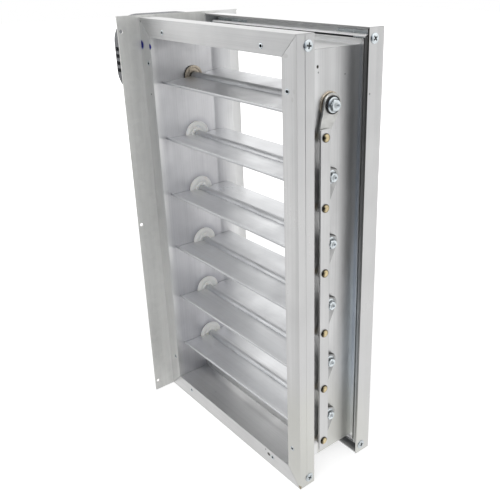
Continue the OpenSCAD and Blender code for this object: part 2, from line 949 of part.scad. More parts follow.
module output_gear() {
    color([0.9, 0.9, 0.86])
        translate([0, 0, drive_z])
            difference() {
                union() {
                    along_x(gear_x - gear_t, gear_t)
                        gear_outline(gear_m, wheel_teeth, 90);
                    rod_x(gear_plate_x - gear_plate_t - hub_l, gear_x - gear_plate_x
                        + gear_plate_t + hub_l + 1, hub_r);
                }
                rod_x(gear_plate_x - gear_plate_t - hub_l - 2, base_depth * 4, shaft_r + 0.02);
                translate([gear_plate_x - gear_plate_t - hub_l / 2, 0, 0])
                    cylinder(h = hub_r + 1, r = set_screw_r + 0.05);
            }
}

module hub_set_screw() {
    color(zinc)
        translate([gear_plate_x - gear_plate_t - hub_l / 2, 0, drive_z + shaft_r + 0.02])
            cylinder(h = hub_r - shaft_r, r = set_screw_r);
}

module idler_spindle() {
    color(zinc)
        translate([0, 0, drive_z + idler_up])
            rod_x(gear_plate_x - gear_plate_t - 1, floor_x + 1.5 - gear_plate_x
                + gear_plate_t + 1, spindle_r);
}

module idler_gear() {
    color([0.9, 0.9, 0.86])
        translate([0, 0, drive_z + idler_up])
            difference() {
                union() {
                    along_x(fine_x, gear_x - fine_x)
                        gear_outline(gear_m, pinion_teeth, -90 + 180 / pinion_teeth);
                    along_x(fine_x - fine_t, fine_t)
                        gear_outline(fine_m, wheel_teeth, motor_turn);
                }
                rod_x(fine_x - fine_t - 1, 20, spindle_r + run_gap);
            }
}

module motor() {
    color([0.5, 0.51, 0.53])
        translate([0, motor_y, drive_z + motor_up])
            difference() {
                union() {
                    rod_x(gear_plate_x - gear_plate_t - motor_l, motor_l, motor_r);
                    rod_x(gear_plate_x - gear_plate_t - motor_l - 2, 3, motor_r * 0.4);
                }
                rod_x(gear_plate_x - gear_plate_t - 10, 11, spindle_r + run_gap);
            }
}

module motor_pinion() {
    color(brass)
        translate([0, motor_y, drive_z + motor_up]) {
            along_x(fine_x - fine_t - 0.3, fine_t + 0.6)
                gear_outline(fine_m, pinion_teeth, 180 + motor_turn + 180 / pinion_teeth);
            rod_x(gear_plate_x - gear_plate_t - 9, fine_x - fine_t - gear_plate_x
                + gear_plate_t + 9, spindle_r);
        }
}

module control_board() {
    color([0.1, 0.35, 0.2])
        translate([board_x, -board_w / 2, board_low])
            cube([board_t, board_w, board_h]);
}

module terminal_block() {
    color([0.15, 0.45, 0.3])
        difference() {
            translate([board_x - block_d, -ways * way / 2, board_low + 2])
                cube([block_d, ways * way, block_h]);
            for (k = [0:ways - 1])
                translate([0, (k - (ways - 1) / 2) * way, board_low + 2 + block_h / 2])
                    rod_x(board_x - block_d - 1, block_d / 2 + 1, way / 3);
        }
}

module release_button() {
    color([0.75, 0.2, 0.15])
        translate([0, 0, button_z]) {
            rod_x(cover_x - button_travel - 1, button_travel + house_wall + 2, button_r);
            rod_x(cover_x + house_wall, 2, button_r + 2);
        }
}

module cable_grommet() {
    color([0.06, 0.06, 0.07])
        grommet_place()
            rotate_extrude()
                polygon([[4, -2.5], [9, -2.5], [9, 0], [6.8, 0], [6.8, house_wall],
                    [8, house_wall], [7.6, house_wall + 1.5], [4, house_wall + 1.5]]);
}

side_channel_left();
side_channel_right();
top_channel();
bottom_channel();
corner_brackets();
flange_rivets();
corner_screws();
plate_screws();
blade_stops();
mounting_plate();
bronze_bushings();
nylon_bushings();
blade(0, drive_trail);  // blade_1
blade(1, 0);  // blade_2
blade(2, 0);  // blade_3
blade(3, 0);  // blade_4
blade(4, 0);  // blade_5
blade(5, 0);  // blade_6
drive_shaft();
idler_shaft(1);  // shaft_2
idler_shaft(2);  // shaft_3
idler_shaft(3);  // shaft_4
idler_shaft(4);  // shaft_5
idler_shaft(5);  // shaft_6
drive_crank();
crank(1);  // crank_2
crank(2);  // crank_3
crank(3);  // crank_4
crank(4);  // crank_5
crank(5);  // crank_6
drive_washer();
drive_bolt();
crank_screw(1);  // crank_screw_2
crank_screw(2);  // crank_screw_3
crank_screw(3);  // crank_screw_4
crank_screw(4);  // crank_screw_5
crank_screw(5);  // crank_screw_6
link_bar();
link_pins();
actuator_base();
actuator_cover();
base_screws();
cover_screws();
gear_plate();
output_gear();
hub_set_screw();
idler_spindle();
idler_gear();
motor();
motor_pinion();
control_board();
terminal_block();
release_button();
cable_grommet();
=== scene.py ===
"""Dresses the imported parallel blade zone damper: finishes, rounded pieces, stage and camera."""

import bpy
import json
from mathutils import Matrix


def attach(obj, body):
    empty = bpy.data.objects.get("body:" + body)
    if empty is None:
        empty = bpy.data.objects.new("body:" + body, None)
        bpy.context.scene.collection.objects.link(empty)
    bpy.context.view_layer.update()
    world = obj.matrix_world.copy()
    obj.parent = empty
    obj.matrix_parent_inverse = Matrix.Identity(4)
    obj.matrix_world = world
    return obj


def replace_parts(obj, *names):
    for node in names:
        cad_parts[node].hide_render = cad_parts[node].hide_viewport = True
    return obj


bl_info = {
    "name": "Zone Damper",
    "version": (1, 0, 0),
    "blender": (4, 5, 0),
    "location": "3D View > Sidebar > Damper",
    "description": "Builds the visible pieces and finishes of a parallel blade zone damper",
    "category": "Object",
}

import json
import math

import bmesh
import bpy
import numpy as np
from mathutils import Matrix, Vector

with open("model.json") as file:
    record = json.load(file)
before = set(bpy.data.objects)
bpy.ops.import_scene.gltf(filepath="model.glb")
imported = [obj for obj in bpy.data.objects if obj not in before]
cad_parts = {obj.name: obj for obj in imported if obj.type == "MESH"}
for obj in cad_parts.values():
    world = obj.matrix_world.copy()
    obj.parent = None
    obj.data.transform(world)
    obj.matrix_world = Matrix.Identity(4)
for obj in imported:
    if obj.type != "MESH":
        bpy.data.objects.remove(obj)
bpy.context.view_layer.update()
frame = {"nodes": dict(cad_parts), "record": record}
MM = 0.001

# Places on the damper, in millimetres, in the model's own frame.
WIDTH, DEPTH, HEIGHT = 254.0, 101.6, 457.2
FACE, RECESS, WEB, WALL, STRIP = 19.05, 15.5, 2.2, 1.8, 1.6
STRIP_DEPTH = 19.2
BOSS_IN, BOSS_DOWN, BOSS_R, BOSS_BORE = 12.2, 9.6, 2.9, 1.6
SCORE, GROOVE = 8.8, 25.8
PITCH = 66.0
SHAFTS = PITCH * (2.5 - np.arange(6))
THROW, CRANK_ANGLE = 29.2, math.radians(20.5)
PIN_Y, PIN_DROP = -THROW * math.sin(CRANK_ANGLE), THROW * math.cos(CRANK_ANGLE)
CRANK_X, CRANK_T, CRANK_STEP = 240.2, 2.0, 0.6
BAR_X, BAR_T, BAR_W = 243.4, 2.0, 12.0
WEB_X = WIDTH - RECESS
WALL_LEFT = RECESS + WEB
BLADE_LIP = 2.4
# Painted shade: how much darker each blade's whole sheet is painted, most on the fourth and fifth blades.
BLADE_SHADE = (0.0, 0.03, 0.0, 0.08, 0.07, 0.04)
BLADE_REACH, NOTCH, NOTCH_DEEP = 108.9, -15.8, 2.9
PIN_HEAD = (4.2, 2.2)
HOUSE_W, HOUSE_H, HOUSE_TOP, HOUSE_CORNER = 109.0, 92.0, SHAFTS[0] + 64.0, 30.0
COVER_X0, COVER_X1, COVER_WALL, COVER_ROUND = -16.5, -61.5, 2.6, 8.0


def length(value, name, text):
    """A size that the sidebar shows in millimetres."""
    return bpy.props.FloatProperty(name=name, description=text, default=value, min=0.0, soft_max=50.0)


def colour(value, name, text):
    """A colour that the sidebar shows."""
    return bpy.props.FloatVectorProperty(name=name, description=text, default=value, subtype="COLOR", size=3,
                                         min=0.0, max=1.0)


class DamperSizes(bpy.types.PropertyGroup):
    edge: length(0.22, "Edge round", "Rounding of sawn and punched edges, in millimetres")
    blade_edge: length(0.6, "Blade edge round", "Rounding of the blades' lips, in millimetres")
    ripple: length(0.12, "Blade ripple", "How far the blade sheets wander from flat, in millimetres")
    disc_round: length(0.7, "Bushing round", "Rounding of the bushing flanges, in millimetres")
    screw_recess: length(1.1, "Recess depth", "Depth of the cross recess in the pan heads, in millimetres")
    mitre: length(0.18, "Mitre gap", "How far each frame member stops short of its mitre, in millimetres")
    slot_deep: length(5.0, "Slot depth", "Depth of the cooling slots in the actuator's sides, in millimetres")


class DamperColours(bpy.types.PropertyGroup):
    extrusion: colour((0.79, 0.79, 0.788), "Extrusion", "Mill finish aluminium of the frame")
    sheet: colour((0.82, 0.828, 0.84), "Blade sheet", "Aluminium of the blades")
    plate: colour((0.745, 0.747, 0.725), "Mounting plate", "Galvanised steel of the mounting plate")
    nylon: colour((0.96, 0.96, 0.93), "Nylon", "Moulded nylon of the bushings")
    bronze: colour((0.74, 0.65, 0.53), "Bronze", "Sintered bronze of the drive bushings")
    brass: colour((0.77, 0.64, 0.39), "Brass", "Turned brass of the link pins")
    zinc: colour((0.83, 0.89, 0.92), "Zinc", "Zinc plated screws")
    housing: colour((0.15, 0.155, 0.165), "Housing", "Moulded plastic of the actuator")
    ink: colour((0.012, 0.02, 0.3), "Ink", "Marker dots left on the frame")


class DamperStage(bpy.types.PropertyGroup):
    floor: colour((0.86, 0.86, 0.86), "Floor", "Colour of the floor")
    sky: bpy.props.FloatProperty(name="Sky", description="Strength of the room light", default=0.68, min=0.0)
    key: bpy.props.FloatProperty(name="Key", description="Power of the large lamp", default=8.0, min=0.0, unit="POWER")
    fill: bpy.props.FloatProperty(name="Fill", description="Power of the side lamp", default=3.0, min=0.0, unit="POWER")


# ---- finishes

class Shade:
    """A small helper that adds nodes to one finish and links them in a line."""

    def __init__(self, name, metallic=0.0, roughness=0.5):
        self.mat = bpy.data.materials.new(name)
        self.mat.use_nodes = True
        self.tree = self.mat.node_tree
        self.tree.nodes.clear()
        self.out = self.tree.nodes.new("ShaderNodeOutputMaterial")
        self.skin = self.tree.nodes.new("ShaderNodeBsdfPrincipled")
        self.skin.inputs["Metallic"].default_value = metallic
        self.skin.inputs["Roughness"].default_value = roughness
        self.join(self.skin.outputs[0], self.out.inputs[0])
        self.where = self.tree.nodes.new("ShaderNodeTexCoord").outputs["Object"]

    def join(self, a, b):
        self.tree.links.new(a, b)

    def node(self, kind, **settings):
        made = self.tree.nodes.new("ShaderNode" + kind)
        for key, value in settings.items():
            setattr(made, key, value)
        return made

    def stretched(self, scale):
        """The object's own coordinates, stretched so that a pattern runs along one way."""
        made = self.node("Mapping")
        made.inputs["Scale"].default_value = scale
        self.join(self.where, made.inputs["Vector"])
        return made.outputs[0]

    def noise(self, scale, detail=3.0, rough=0.5, ways=(1, 1, 1)):
        made = self.node("TexNoise")
        made.inputs["Scale"].default_value = scale
        made.inputs["Detail"].default_value = detail
        made.inputs["Roughness"].default_value = rough
        self.join(self.stretched(ways), made.inputs["Vector"])
        return made.outputs["Fac"]

    def band(self, value, low, high, to_low=0.0, to_high=1.0):
        """Maps value from low..high to to_low..to_high, smoothly and held at the ends."""
        made = self.node("MapRange", interpolation_type="SMOOTHSTEP")
        for key, number in zip(("From Min", "From Max", "To Min", "To Max"), (low, high, to_low, to_high)):
            made.inputs[key].default_value = number
        self.join(value, made.inputs["Value"])
        return made.outputs[0]

    def calc(self, how, a, b):
        made = self.node("Math", operation=how)
        for i, value in enumerate((a, b)):
            if isinstance(value, (int, float)):
                made.inputs[i].default_value = value
            else:
                self.join(value, made.inputs[i])
        return made.outputs[0]

    def blend(self, amount, a, b):
        """Goes from colour a to colour b by amount."""
        made = self.node("Mix", data_type="RGBA")
        if isinstance(amount, (int, float)):
            made.inputs[0].default_value = amount
        else:
            self.join(amount, made.inputs[0])
        for slot, value in ((6, a), (7, b)):
            if hasattr(value, "is_linked"):
                self.join(value, made.inputs[slot])
            else:
                made.inputs[slot].default_value = (*value, 1.0)
        return made.outputs[2]

    def near(self, point, radius, stretch=(1, 1, 1)):
        """1 at a point of the object and 0 beyond the radius, both in millimetres."""
        move = self.node("Mapping")
        move.inputs["Location"].default_value = [-p * MM * s for p, s in zip(point, stretch)]
        move.inputs["Scale"].default_value = stretch
        self.join(self.where, move.inputs["Vector"])
        far = self.node("VectorMath", operation="LENGTH")
        self.join(move.outputs[0], far.inputs[0])
        return self.band(far.outputs["Value"], radius * MM * 0.55, radius * MM, 1.0, 0.0)

    def bump(self, height, strength, depth):
        made = self.node("Bump")
        made.inputs["Strength"].default_value = strength
        made.inputs["Distance"].default_value = depth
        self.join(height, made.inputs["Height"])
        self.join(made.outputs[0], self.skin.inputs["Normal"])

    def paint(self, value):
        if hasattr(value, "is_linked"):
            self.join(value, self.skin.inputs["Base Color"])
        else:
            self.skin.inputs["Base Color"].default_value = (*value, 1.0)

    def rough(self, value):
        self.join(value, self.skin.inputs["Roughness"])

    def shade_and_soil(self):
        """How dark a piece is painted, carried on its points: mostly painted shade in hollows, gaps and holes, with
        some dirt.
        """
        return self.node("Attribute", attribute_name="shade_and_soil").outputs["Fac"]

    def shaded_and_soiled(self, tone, shade_and_soil_colour=(0.018, 0.016, 0.014)):
        """Goes from a tone to a dark colour by the painted shade and dirt that the piece carries."""
        return self.blend(self.shade_and_soil(), tone, shade_and_soil_colour)


def darker(rgb, amount):
    return tuple(c * amount for c in rgb)


def brighter(rgb, amount):
    return tuple(c + (1 - c) * amount for c in rgb)


def drawn_metal(name, rgb, along, grain=1.0, cloud=0.5, rough=(0.28, 0.42), marks=(), metallic=1.0,
                shade_and_soil_colour=(0.018, 0.016, 0.014), dull=0.6, chalky=False):
    """Drawn or rolled metal: fine die lines along one way, cloudy patches, scuffs, marker dots and other marks, some of
    which are painted light and painted shade. dull is how much rougher it is where its shade_and_soil value is 1. A
    chalky finish has clean parts whose shade_and_soil value is below zero: they are as rough as darkened ones and shine
    less."""
    s = Shade(name, metallic=metallic)
    if chalky:
        s.join(s.band(s.shade_and_soil(), -1.0, 0.0, 0.3, metallic), s.skin.inputs["Metallic"])
    across = tuple(6.0 if k == along else 900.0 for k in "XYZ")
    lines = s.noise(1.0, 4.0, 0.65, across)
    broad = tuple(3.0 if k == along else 70.0 for k in "XYZ")
    bands = s.noise(1.0, 2.0, 0.5, broad)
    patches = s.noise(16.0, 4.0, 0.6)
    scuffs = s.noise(70.0, 5.0, 0.7, tuple(0.35 if k == along else 1.0 for k in "XYZ"))
    tone = s.blend(s.band(bands, 0.3, 0.7), darker(rgb, 1.0 - 0.06 * grain), darker(rgb, 1.0 + 0.05 * grain))
    tone = s.blend(s.band(patches, 0.35, 0.7, 0.0, cloud), tone, darker(rgb, 0.9))
    tone = s.blend(s.band(lines, 0.42, 0.75, 0.0, 0.22 * grain), tone, darker(rgb, 0.72))
    tone = s.blend(s.band(scuffs, 0.66, 0.74, 0.0, 0.5), tone, darker(rgb, 0.62))
    for point, radius, stretch, shade in marks:
        tone = s.blend(s.near(point, radius, stretch), tone, shade)
    s.paint(s.shaded_and_soiled(tone, shade_and_soil_colour))
    wear = s.calc("ADD", s.band(lines, 0.3, 0.75, 0.0, 0.1), s.band(patches, 0.3, 0.7, rough[0], rough[1]))
    s.rough(s.calc("ADD", wear, s.calc("MULTIPLY", s.calc("ABSOLUTE", s.shade_and_soil(), 0.0), dull)))
    s.bump(lines, 0.12 * grain, 0.0004)
    s.skin.inputs["Anisotropic"].default_value = 0.35
    return s.mat


def plain_metal(name, rgb, rough=0.3, shade_and_soil=0.4, scale=180.0):
    """Turned or plated metal: small cloudy changes of colour and gloss, darker in patches."""
    s = Shade(name, metallic=1.0)
    patches = s.noise(scale, 4.0, 0.6)
    fine = s.noise(scale * 7, 3.0, 0.6)
    tone = s.blend(s.band(patches, 0.35, 0.7, 0.0, shade_and_soil), rgb, darker(rgb, 0.55))
    s.paint(s.shaded_and_soiled(tone))
    s.rough(s.band(patches, 0.3, 0.75, rough * 0.8, rough * 1.5))
    s.bump(fine, 0.12, 0.0002)
    return s.mat


def moulded(name, rgb, rough=0.45, grain=900.0, depth=0.00008, soft=0.0):
    """Moulded plastic or rubber: a fine sparkle of texture and slow changes of colour."""
    s = Shade(name, roughness=rough)
    cells = s.noise(grain, 2.0, 0.5)
    slow = s.noise(25.0, 3.0, 0.6)
    s.paint(s.blend(s.band(slow, 0.3, 0.7), darker(rgb, 0.93), darker(rgb, 1.05)))
    s.rough(s.band(cells, 0.3, 0.7, rough * 0.85, min(1.0, rough * 1.2)))
    s.bump(cells, 0.35, depth)
    if soft:
        s.skin.inputs["Subsurface Weight"].default_value = soft
        s.skin.inputs["Subsurface Radius"].default_value = (0.004, 0.0035, 0.003)
    return s.mat


def spangled(name, rgb):
    """Galvanised sheet: flat zinc crystals a few millimetres across, under a dull streaked skin."""
    s = Shade(name, metallic=0.4)
    cells = s.node("TexVoronoi")
    cells.inputs["Scale"].default_value = 160.0
    s.join(s.stretched((1, 1, 1)), cells.inputs["Vector"])
    grey = s.node("SeparateColor")
    s.join(cells.outputs["Color"], grey.inputs[0])
    streaks = s.noise(1.0, 4.0, 0.6, (60, 90, 5))
    slow = s.noise(9.0, 4.0, 0.6)
    tone = s.blend(s.band(grey.outputs[0], 0.0, 1.0, 0.0, 0.35), rgb, darker(rgb, 0.86))
    tone = s.blend(s.band(streaks, 0.35, 0.7, 0.0, 0.55), tone, darker(rgb, 1.18))
    tone = s.blend(s.band(slow, 0.45, 0.75, 0.0, 0.5), tone, darker(rgb, 0.88))
    # Painted highlight: a band of the plate near the frame, round 63.5 mm behind the middle, painted nearly white.
    s.paint(s.blend(s.near((2.5, 63.5, 0.0), 26.0, (6, 1, 0.03)), tone, brighter(rgb, 0.8)))
    s.rough(s.band(grey.outputs[1], 0.0, 1.0, 0.42, 0.55))
    s.bump(streaks, 0.15, 0.0003)
    return s.mat


def finishes():
    """Makes every finish once and returns them by name."""
    c = bpy.context.scene.damper_colours
    ink, dark, grey = tuple(c.ink), (0.05, 0.045, 0.04), (0.36, 0.36, 0.36)
    prick, brown, faint = (1, 1, 1), (0.36, 0.31, 0.22), (0.7, 0.7, 0.69)
    dots = [((1.6, -50.8, 201.2), 5.2, (1, 1, 0.9), (0.3, 0.32, 0.62)), ((1.6, -50.8, 201.2), 3.8, (1, 1, 0.85), ink), ((18.4, -50.8, 200.3), 1.9, (1.2, 1, 0.5), ink),
            ((3.0, -50.8, 226.0), 1.4, (1, 1, 0.5), grey), ((12.4, -50.8, 150.0), 1.2, prick, grey)]
    # Small dark and grey spots on the right web, and a painted reflection of each brass pin: a warm patch on the web
    # beside it.
    web_marks_and_pin_reflections = [((238.5, -14.1, 198.5), 1.5, (1, 1, 0.8), dark), ((238.5, -13.2, 193.6), 1.0, prick, grey),
                 ((238.5, 18.7, 189.0), 1.1, (1, 1, 1.4), grey), ((238.5, -18.7, 117.2), 1.1, prick, dark),
                 *[((239.3, -18.5, z - PIN_DROP + 2), 5.0, (3, 1, 0.8), (0.72, 0.66, 0.59)) for z in SHAFTS]]
    # Painted shade: darker bluish patches on the web by the rear flange, the outer side darker, and the lower front
    # corner darker. Painted light: a pale strip on the web beside the link bar.
    painted_light_and_shade = [((240.0, 40.0, -120.0), 26.0, (1.5, 1, 0.15), (0.87, 0.9, 0.92)),
             ((239.5, 43.0, 0.0), 10.0, (3, 1, 0.03), (0.62, 0.66, 0.71)),
             ((244.5, 47.5, 0.0), 10.0, (1, 3, 0.03), (0.64, 0.68, 0.72)),
             ((262.0, 0.0, 0.0), 15.0, (1, 0.02, 0.01), darker(tuple(c.extrusion), 0.88)),
             ((258.0, -52.0, -215.0), 130.0, prick, (0.7, 0.7, 0.665)),
             ((239.5, -17.0, 0.0), 6.5, (3, 1, 0.003), brighter(tuple(c.extrusion), 0.45))]
    # Painted light: the link bar's back, which faces the web, painted paler.
    behind = [((240.4, PIN_Y, 0.0), 5.6, (1, 0.3, 0.002), brighter(tuple(c.extrusion), 0.7))]
    # Painted light: the inside of the top member's rear recess painted paler.
    recess = [((WIDTH / 2, 41.0, 220.0), 15.0, (0.02, 1, 1), brighter(tuple(c.extrusion), 0.85))]
    # Painted shade round the nylon bushings on the left wall.
    shade = [((WALL_LEFT, 0, z), 23.0, prick, (0.6, 0.6, 0.62)) for z in SHAFTS[1:]]
    smudge = [((x, y, z), r, w, tint) for x, y, z, r, w, tint in
              ((250.4, -50.8, 183.5, 2.0, (1, 1, 0.8), faint),
               (248.2, -50.8, 176.7, 1.8, (1, 1, 0.7), faint),
               (254.0, -44.0, 225.3, 2.6, (1, 1, 1.6), faint), (254.0, -44.1, 213.0, 2.2, (1, 1, 1.4), faint),
               (254.0, 34.4, 171.5, 1.2, prick, grey), (254.0, 46.3, 225.3, 2.6, prick, faint),
               (253.2, -50.8, -226.0, 2.2, (1, 1, 0.8), brown), (240.0, -50.8, 211.0, 3.0, (0.7, 1, 1.3), faint))]
    low_marks = [((201.5, -50.8, -216.0), 2.2, (0.7, 1, 1), dark), ((196.0, -50.8, -213.0), 1.4, prick, grey)]
    return {
        # The left member is painted paler than the frame's aluminium, as painted light, and its duct side goes to a
        # darker bluish colour, as painted shade.
        "left": drawn_metal("drawn_left", brighter(tuple(c.extrusion), 0.35), "Z", cloud=0.6, marks=dots + shade,
                            shade_and_soil_colour=(0.3, 0.295, 0.37)),
        "right": drawn_metal("drawn_right", tuple(c.extrusion), "Z", grain=1.3, cloud=0.35, rough=(0.25, 0.37),
                             marks=painted_light_and_shade + web_marks_and_pin_reflections + smudge, metallic=0.93, chalky=True),
        "rails": drawn_metal("drawn_rails", darker(tuple(c.extrusion), 0.95), "X", cloud=0.5, marks=recess + low_marks,
                             chalky=True),
        "blades": drawn_metal("rolled_sheet", tuple(c.sheet), "X", grain=0.7, cloud=0.75, rough=(0.2, 0.4),
                              dull=2.0),
        "bar": drawn_metal("bar_strip", darker(tuple(c.extrusion), 0.9), "Z", cloud=0.3, rough=(0.26, 0.38),
                           marks=behind),
        "plate": spangled("spangled_sheet", tuple(c.plate)),
        "nylon": moulded("nylon", tuple(c.nylon), 0.42, 500.0, 0.00005, 0.25),
        "gear": moulded("gear_plastic", tuple(c.nylon), 0.4, 500.0),
        "bronze": plain_metal("sintered_bronze", tuple(c.bronze), 0.42, 0.5, 400.0),
        "brass": plain_metal("turned_brass", tuple(c.brass), 0.24, 0.55, 260.0),
        "zinc": plain_metal("zinc_plate", tuple(c.zinc), 0.26, 0.35, 220.0),
        "steel": plain_metal("cold_steel", (0.5, 0.5, 0.51), 0.3, 0.5, 140.0),
        "drive": plain_metal("drive_crank_steel", (0.68, 0.68, 0.66), 0.36, 0.4, 90.0),
        "crank": plain_metal("crank_steel", (0.5, 0.5, 0.5), 0.36, 0.45, 90.0),
        "rubber": moulded("black_rubber", (0.012, 0.012, 0.013), 0.55, 700.0),
        "housing": moulded("housing_plastic", tuple(c.housing), 0.5, 1100.0, 0.0001),
        "motor": plain_metal("motor_can", (0.4, 0.41, 0.43), 0.35, 0.4, 60.0),
        "board": moulded("board", (0.02, 0.12, 0.06), 0.35, 300.0),
        "terminal": moulded("terminal", (0.03, 0.17, 0.08), 0.45),
        "button": moulded("button", (0.5, 0.05, 0.04), 0.4),
    }


FINISH = {}


# ---- surfaces

def shape(name, points, faces, finish, body, slot, smooth=40.0, shade_and_soil=None):
    """Makes a piece from points in millimetres and lists of corner numbers, closes its seams and turns its faces
    outwards. shade_and_soil is how dark each point is painted, mostly as painted shade, from 0 to 1."""
    mesh = bpy.data.meshes.new(name)
    mesh.from_pydata(np.asarray(points) * MM, [], faces)
    if shade_and_soil is not None:
        mesh.attributes.new("shade_and_soil", "FLOAT", "POINT").data.foreach_set("value", np.asarray(shade_and_soil, np.float32))
    tidied(mesh)
    smoothed(mesh, smooth)
    piece = bpy.data.objects.new(name, mesh)
    bpy.context.scene.collection.objects.link(piece)
    mesh.materials.append(FINISH[finish])
    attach(piece, body)
    return piece


def tidied(mesh):
    """Closes a mesh's seams and poles, and turns its faces outwards."""
    work = bmesh.new()
    work.from_mesh(mesh)
    bmesh.ops.remove_doubles(work, verts=work.verts, dist=2e-6)
    bmesh.ops.recalc_face_normals(work, faces=work.faces)
    work.to_mesh(mesh)
    work.free()


def smoothed(mesh, angle):
    mesh.polygons.foreach_set("use_smooth", np.ones(len(mesh.polygons), bool))
    mesh.set_sharp_from_angle(angle=math.radians(angle))


def cut(piece, parts, angle=30.0):
    """Takes closed forms away from a piece, and keeps what is left as its mesh."""
    points, faces = join_parts(parts)
    mesh = bpy.data.meshes.new("cutter")
    mesh.from_pydata(points * MM, [], faces)
    tidied(mesh)
    tool = bpy.data.objects.new("cutter", mesh)
    bpy.context.scene.collection.objects.link(tool)
    mod = piece.modifiers.new("cut", "BOOLEAN")
    mod.operation, mod.solver, mod.object = "DIFFERENCE", "EXACT", tool
    whole = piece.data
    left = bpy.data.meshes.new_from_object(piece.evaluated_get(bpy.context.evaluated_depsgraph_get()))
    if len(left.polygons) < 10:
        raise RuntimeError("nothing is left of " + piece.name)
    piece.modifiers.clear()
    piece.data = left
    left.name = piece.name
    smoothed(left, angle)
    bpy.data.objects.remove(tool)
    for used in (mesh, whole):
        bpy.data.meshes.remove(used)
    return piece


def drill(centre, radius, depth, ahead, steps=32):
    """A plain round cutter from centre along ahead."""
    return turned([0, radius, radius, 0], [0, 0, depth, depth], centre, ahead, steps)


def net(rows, columns, base=0, round_rows=False, round_columns=False):
    """Corner numbers of the squares of a grid, wrapped round where asked."""
    r = np.arange(rows if round_rows else rows - 1)[:, None]
    c = np.arange(columns if round_columns else columns - 1)[None, :]
    r2, c2 = (r + 1) % rows, (c + 1) % columns
    quads = np.stack([r * columns + c, r * columns + c2, r2 * columns + c2, r2 * columns + c], -1)
    return (quads.reshape(-1, 4) + base).tolist()


def join_parts(parts):
    """Puts several (points, faces) parts together as one."""
    points, faces, base = [], [], 0
    for p, f in parts:
        points.append(np.asarray(p).reshape(-1, 3))
        faces += [[k + base for k in face] for face in f]
        base += len(points[-1])
    return np.concatenate(points), faces


def carried(outline, start, end, place):
    """Carries a closed outline of (u, v) points from start to end, which may be a number or one number for each
    point of the outline, and closes both ends. place turns (u, v, w) arrays into x, y, z."""
    n = len(outline)
    u, v = outline[:, 0], outline[:, 1]
    rows = [np.stack(place(u, v, np.broadcast_to(w, (n,))), -1) for w in (start, end)]
    return np.concatenate(rows), net(2, n, round_columns=True) + [list(range(n))[::-1], list(range(n, 2 * n))]


def turned(radii, heights, centre, ahead=(1, 0, 0), steps=48):
    """Turns a profile of radii and heights round an axis through centre that points along ahead."""
    ahead = np.array(ahead, float)
    side = np.cross(ahead, (0, 0, 1) if abs(ahead[2]) < 0.9 else (0, 1, 0))
    side /= np.linalg.norm(side)
    other = np.cross(ahead, side)
    a = np.arange(steps) * 2 * np.pi / steps
    ring = np.cos(a)[:, None] * side + np.sin(a)[:, None] * other
    radii, heights = np.asarray(radii, float), np.asarray(heights, float)
    p = np.array(centre) + radii[:, None, None] * ring[None] + heights[:, None, None] * ahead
    return p.reshape(-1, 3), net(len(radii), steps, round_columns=True)


def rings(radius_rows, heights, centre, ahead_sign, turn=0.0):
    """Stacks rings round the X axis, each with its own radius for every angle: radius_rows is rings by angles."""
    radius_rows = np.asarray(radius_rows, float)
    steps = radius_rows.shape[1]
    a = np.arange(steps) * 2 * np.pi / steps
    y = radius_rows * np.cos(a + turn)
    z = radius_rows * np.sin(a + turn)
    tall = np.asarray(heights, float)
    x = np.broadcast_to(tall if tall.ndim == 2 else tall[:, None], y.shape) * ahead_sign
    p = np.stack([x, y, z], -1) + np.array(centre)
    return p.reshape(-1, 3), net(len(radius_rows), steps, round_columns=True)


def fillet(corners, radii, steps=5):
    """Rounds each corner of a closed outline with an arc that touches both of its sides."""
    p = np.array(corners, float)
    r = np.broadcast_to(np.asarray(radii, float), (len(p),))
    a = np.roll(p, 1, 0) - p
    b = np.roll(p, -1, 0) - p
    a /= np.linalg.norm(a, axis=1)[:, None]
    b /= np.linalg.norm(b, axis=1)[:, None]
    half = np.arccos(np.clip((a * b).sum(1), -1, 1)) / 2
    cut = r / np.tan(half)
    mid = (a + b) / np.linalg.norm(a + b, axis=1)[:, None]
    centre = p + mid * (r / np.sin(half))[:, None]
    s, e = p + a * cut[:, None] - centre, p + b * cut[:, None] - centre
    t = np.linspace(0, 1, steps)[None, :, None]
    arc = s[:, None] * (1 - t) + e[:, None] * t
    norm = np.linalg.norm(arc, axis=2, keepdims=True)
    arc = np.where(norm > 1e-9, arc / np.maximum(norm, 1e-9), 0) * r[:, None, None]
    return (centre[:, None] + arc).reshape(-1, 2)


def arc(centre, radius, start, end, steps):
    """Points on an arc from start to end, in degrees."""
    a = np.radians(np.linspace(start, end, steps))
    return np.stack([centre[0] + radius * np.cos(a), centre[1] + radius * np.sin(a)], -1)


def rounded(piece, width, segments=2, angle=32.0):
    """Rounds the sharp edges of a piece, and keeps its flat faces flat in the light."""
    mod = piece.modifiers.new("edges", "BEVEL")
    mod.width, mod.segments, mod.limit_method = width * MM, segments, "ANGLE"
    mod.angle_limit = math.radians(angle)
    mod.harden_normals = True
    return piece


# ---- pieces

PLAIN, DUCT, RAMP, EDGE, INSIDE, BOSS, LIP, BORE, FOOT, BED = range(10)


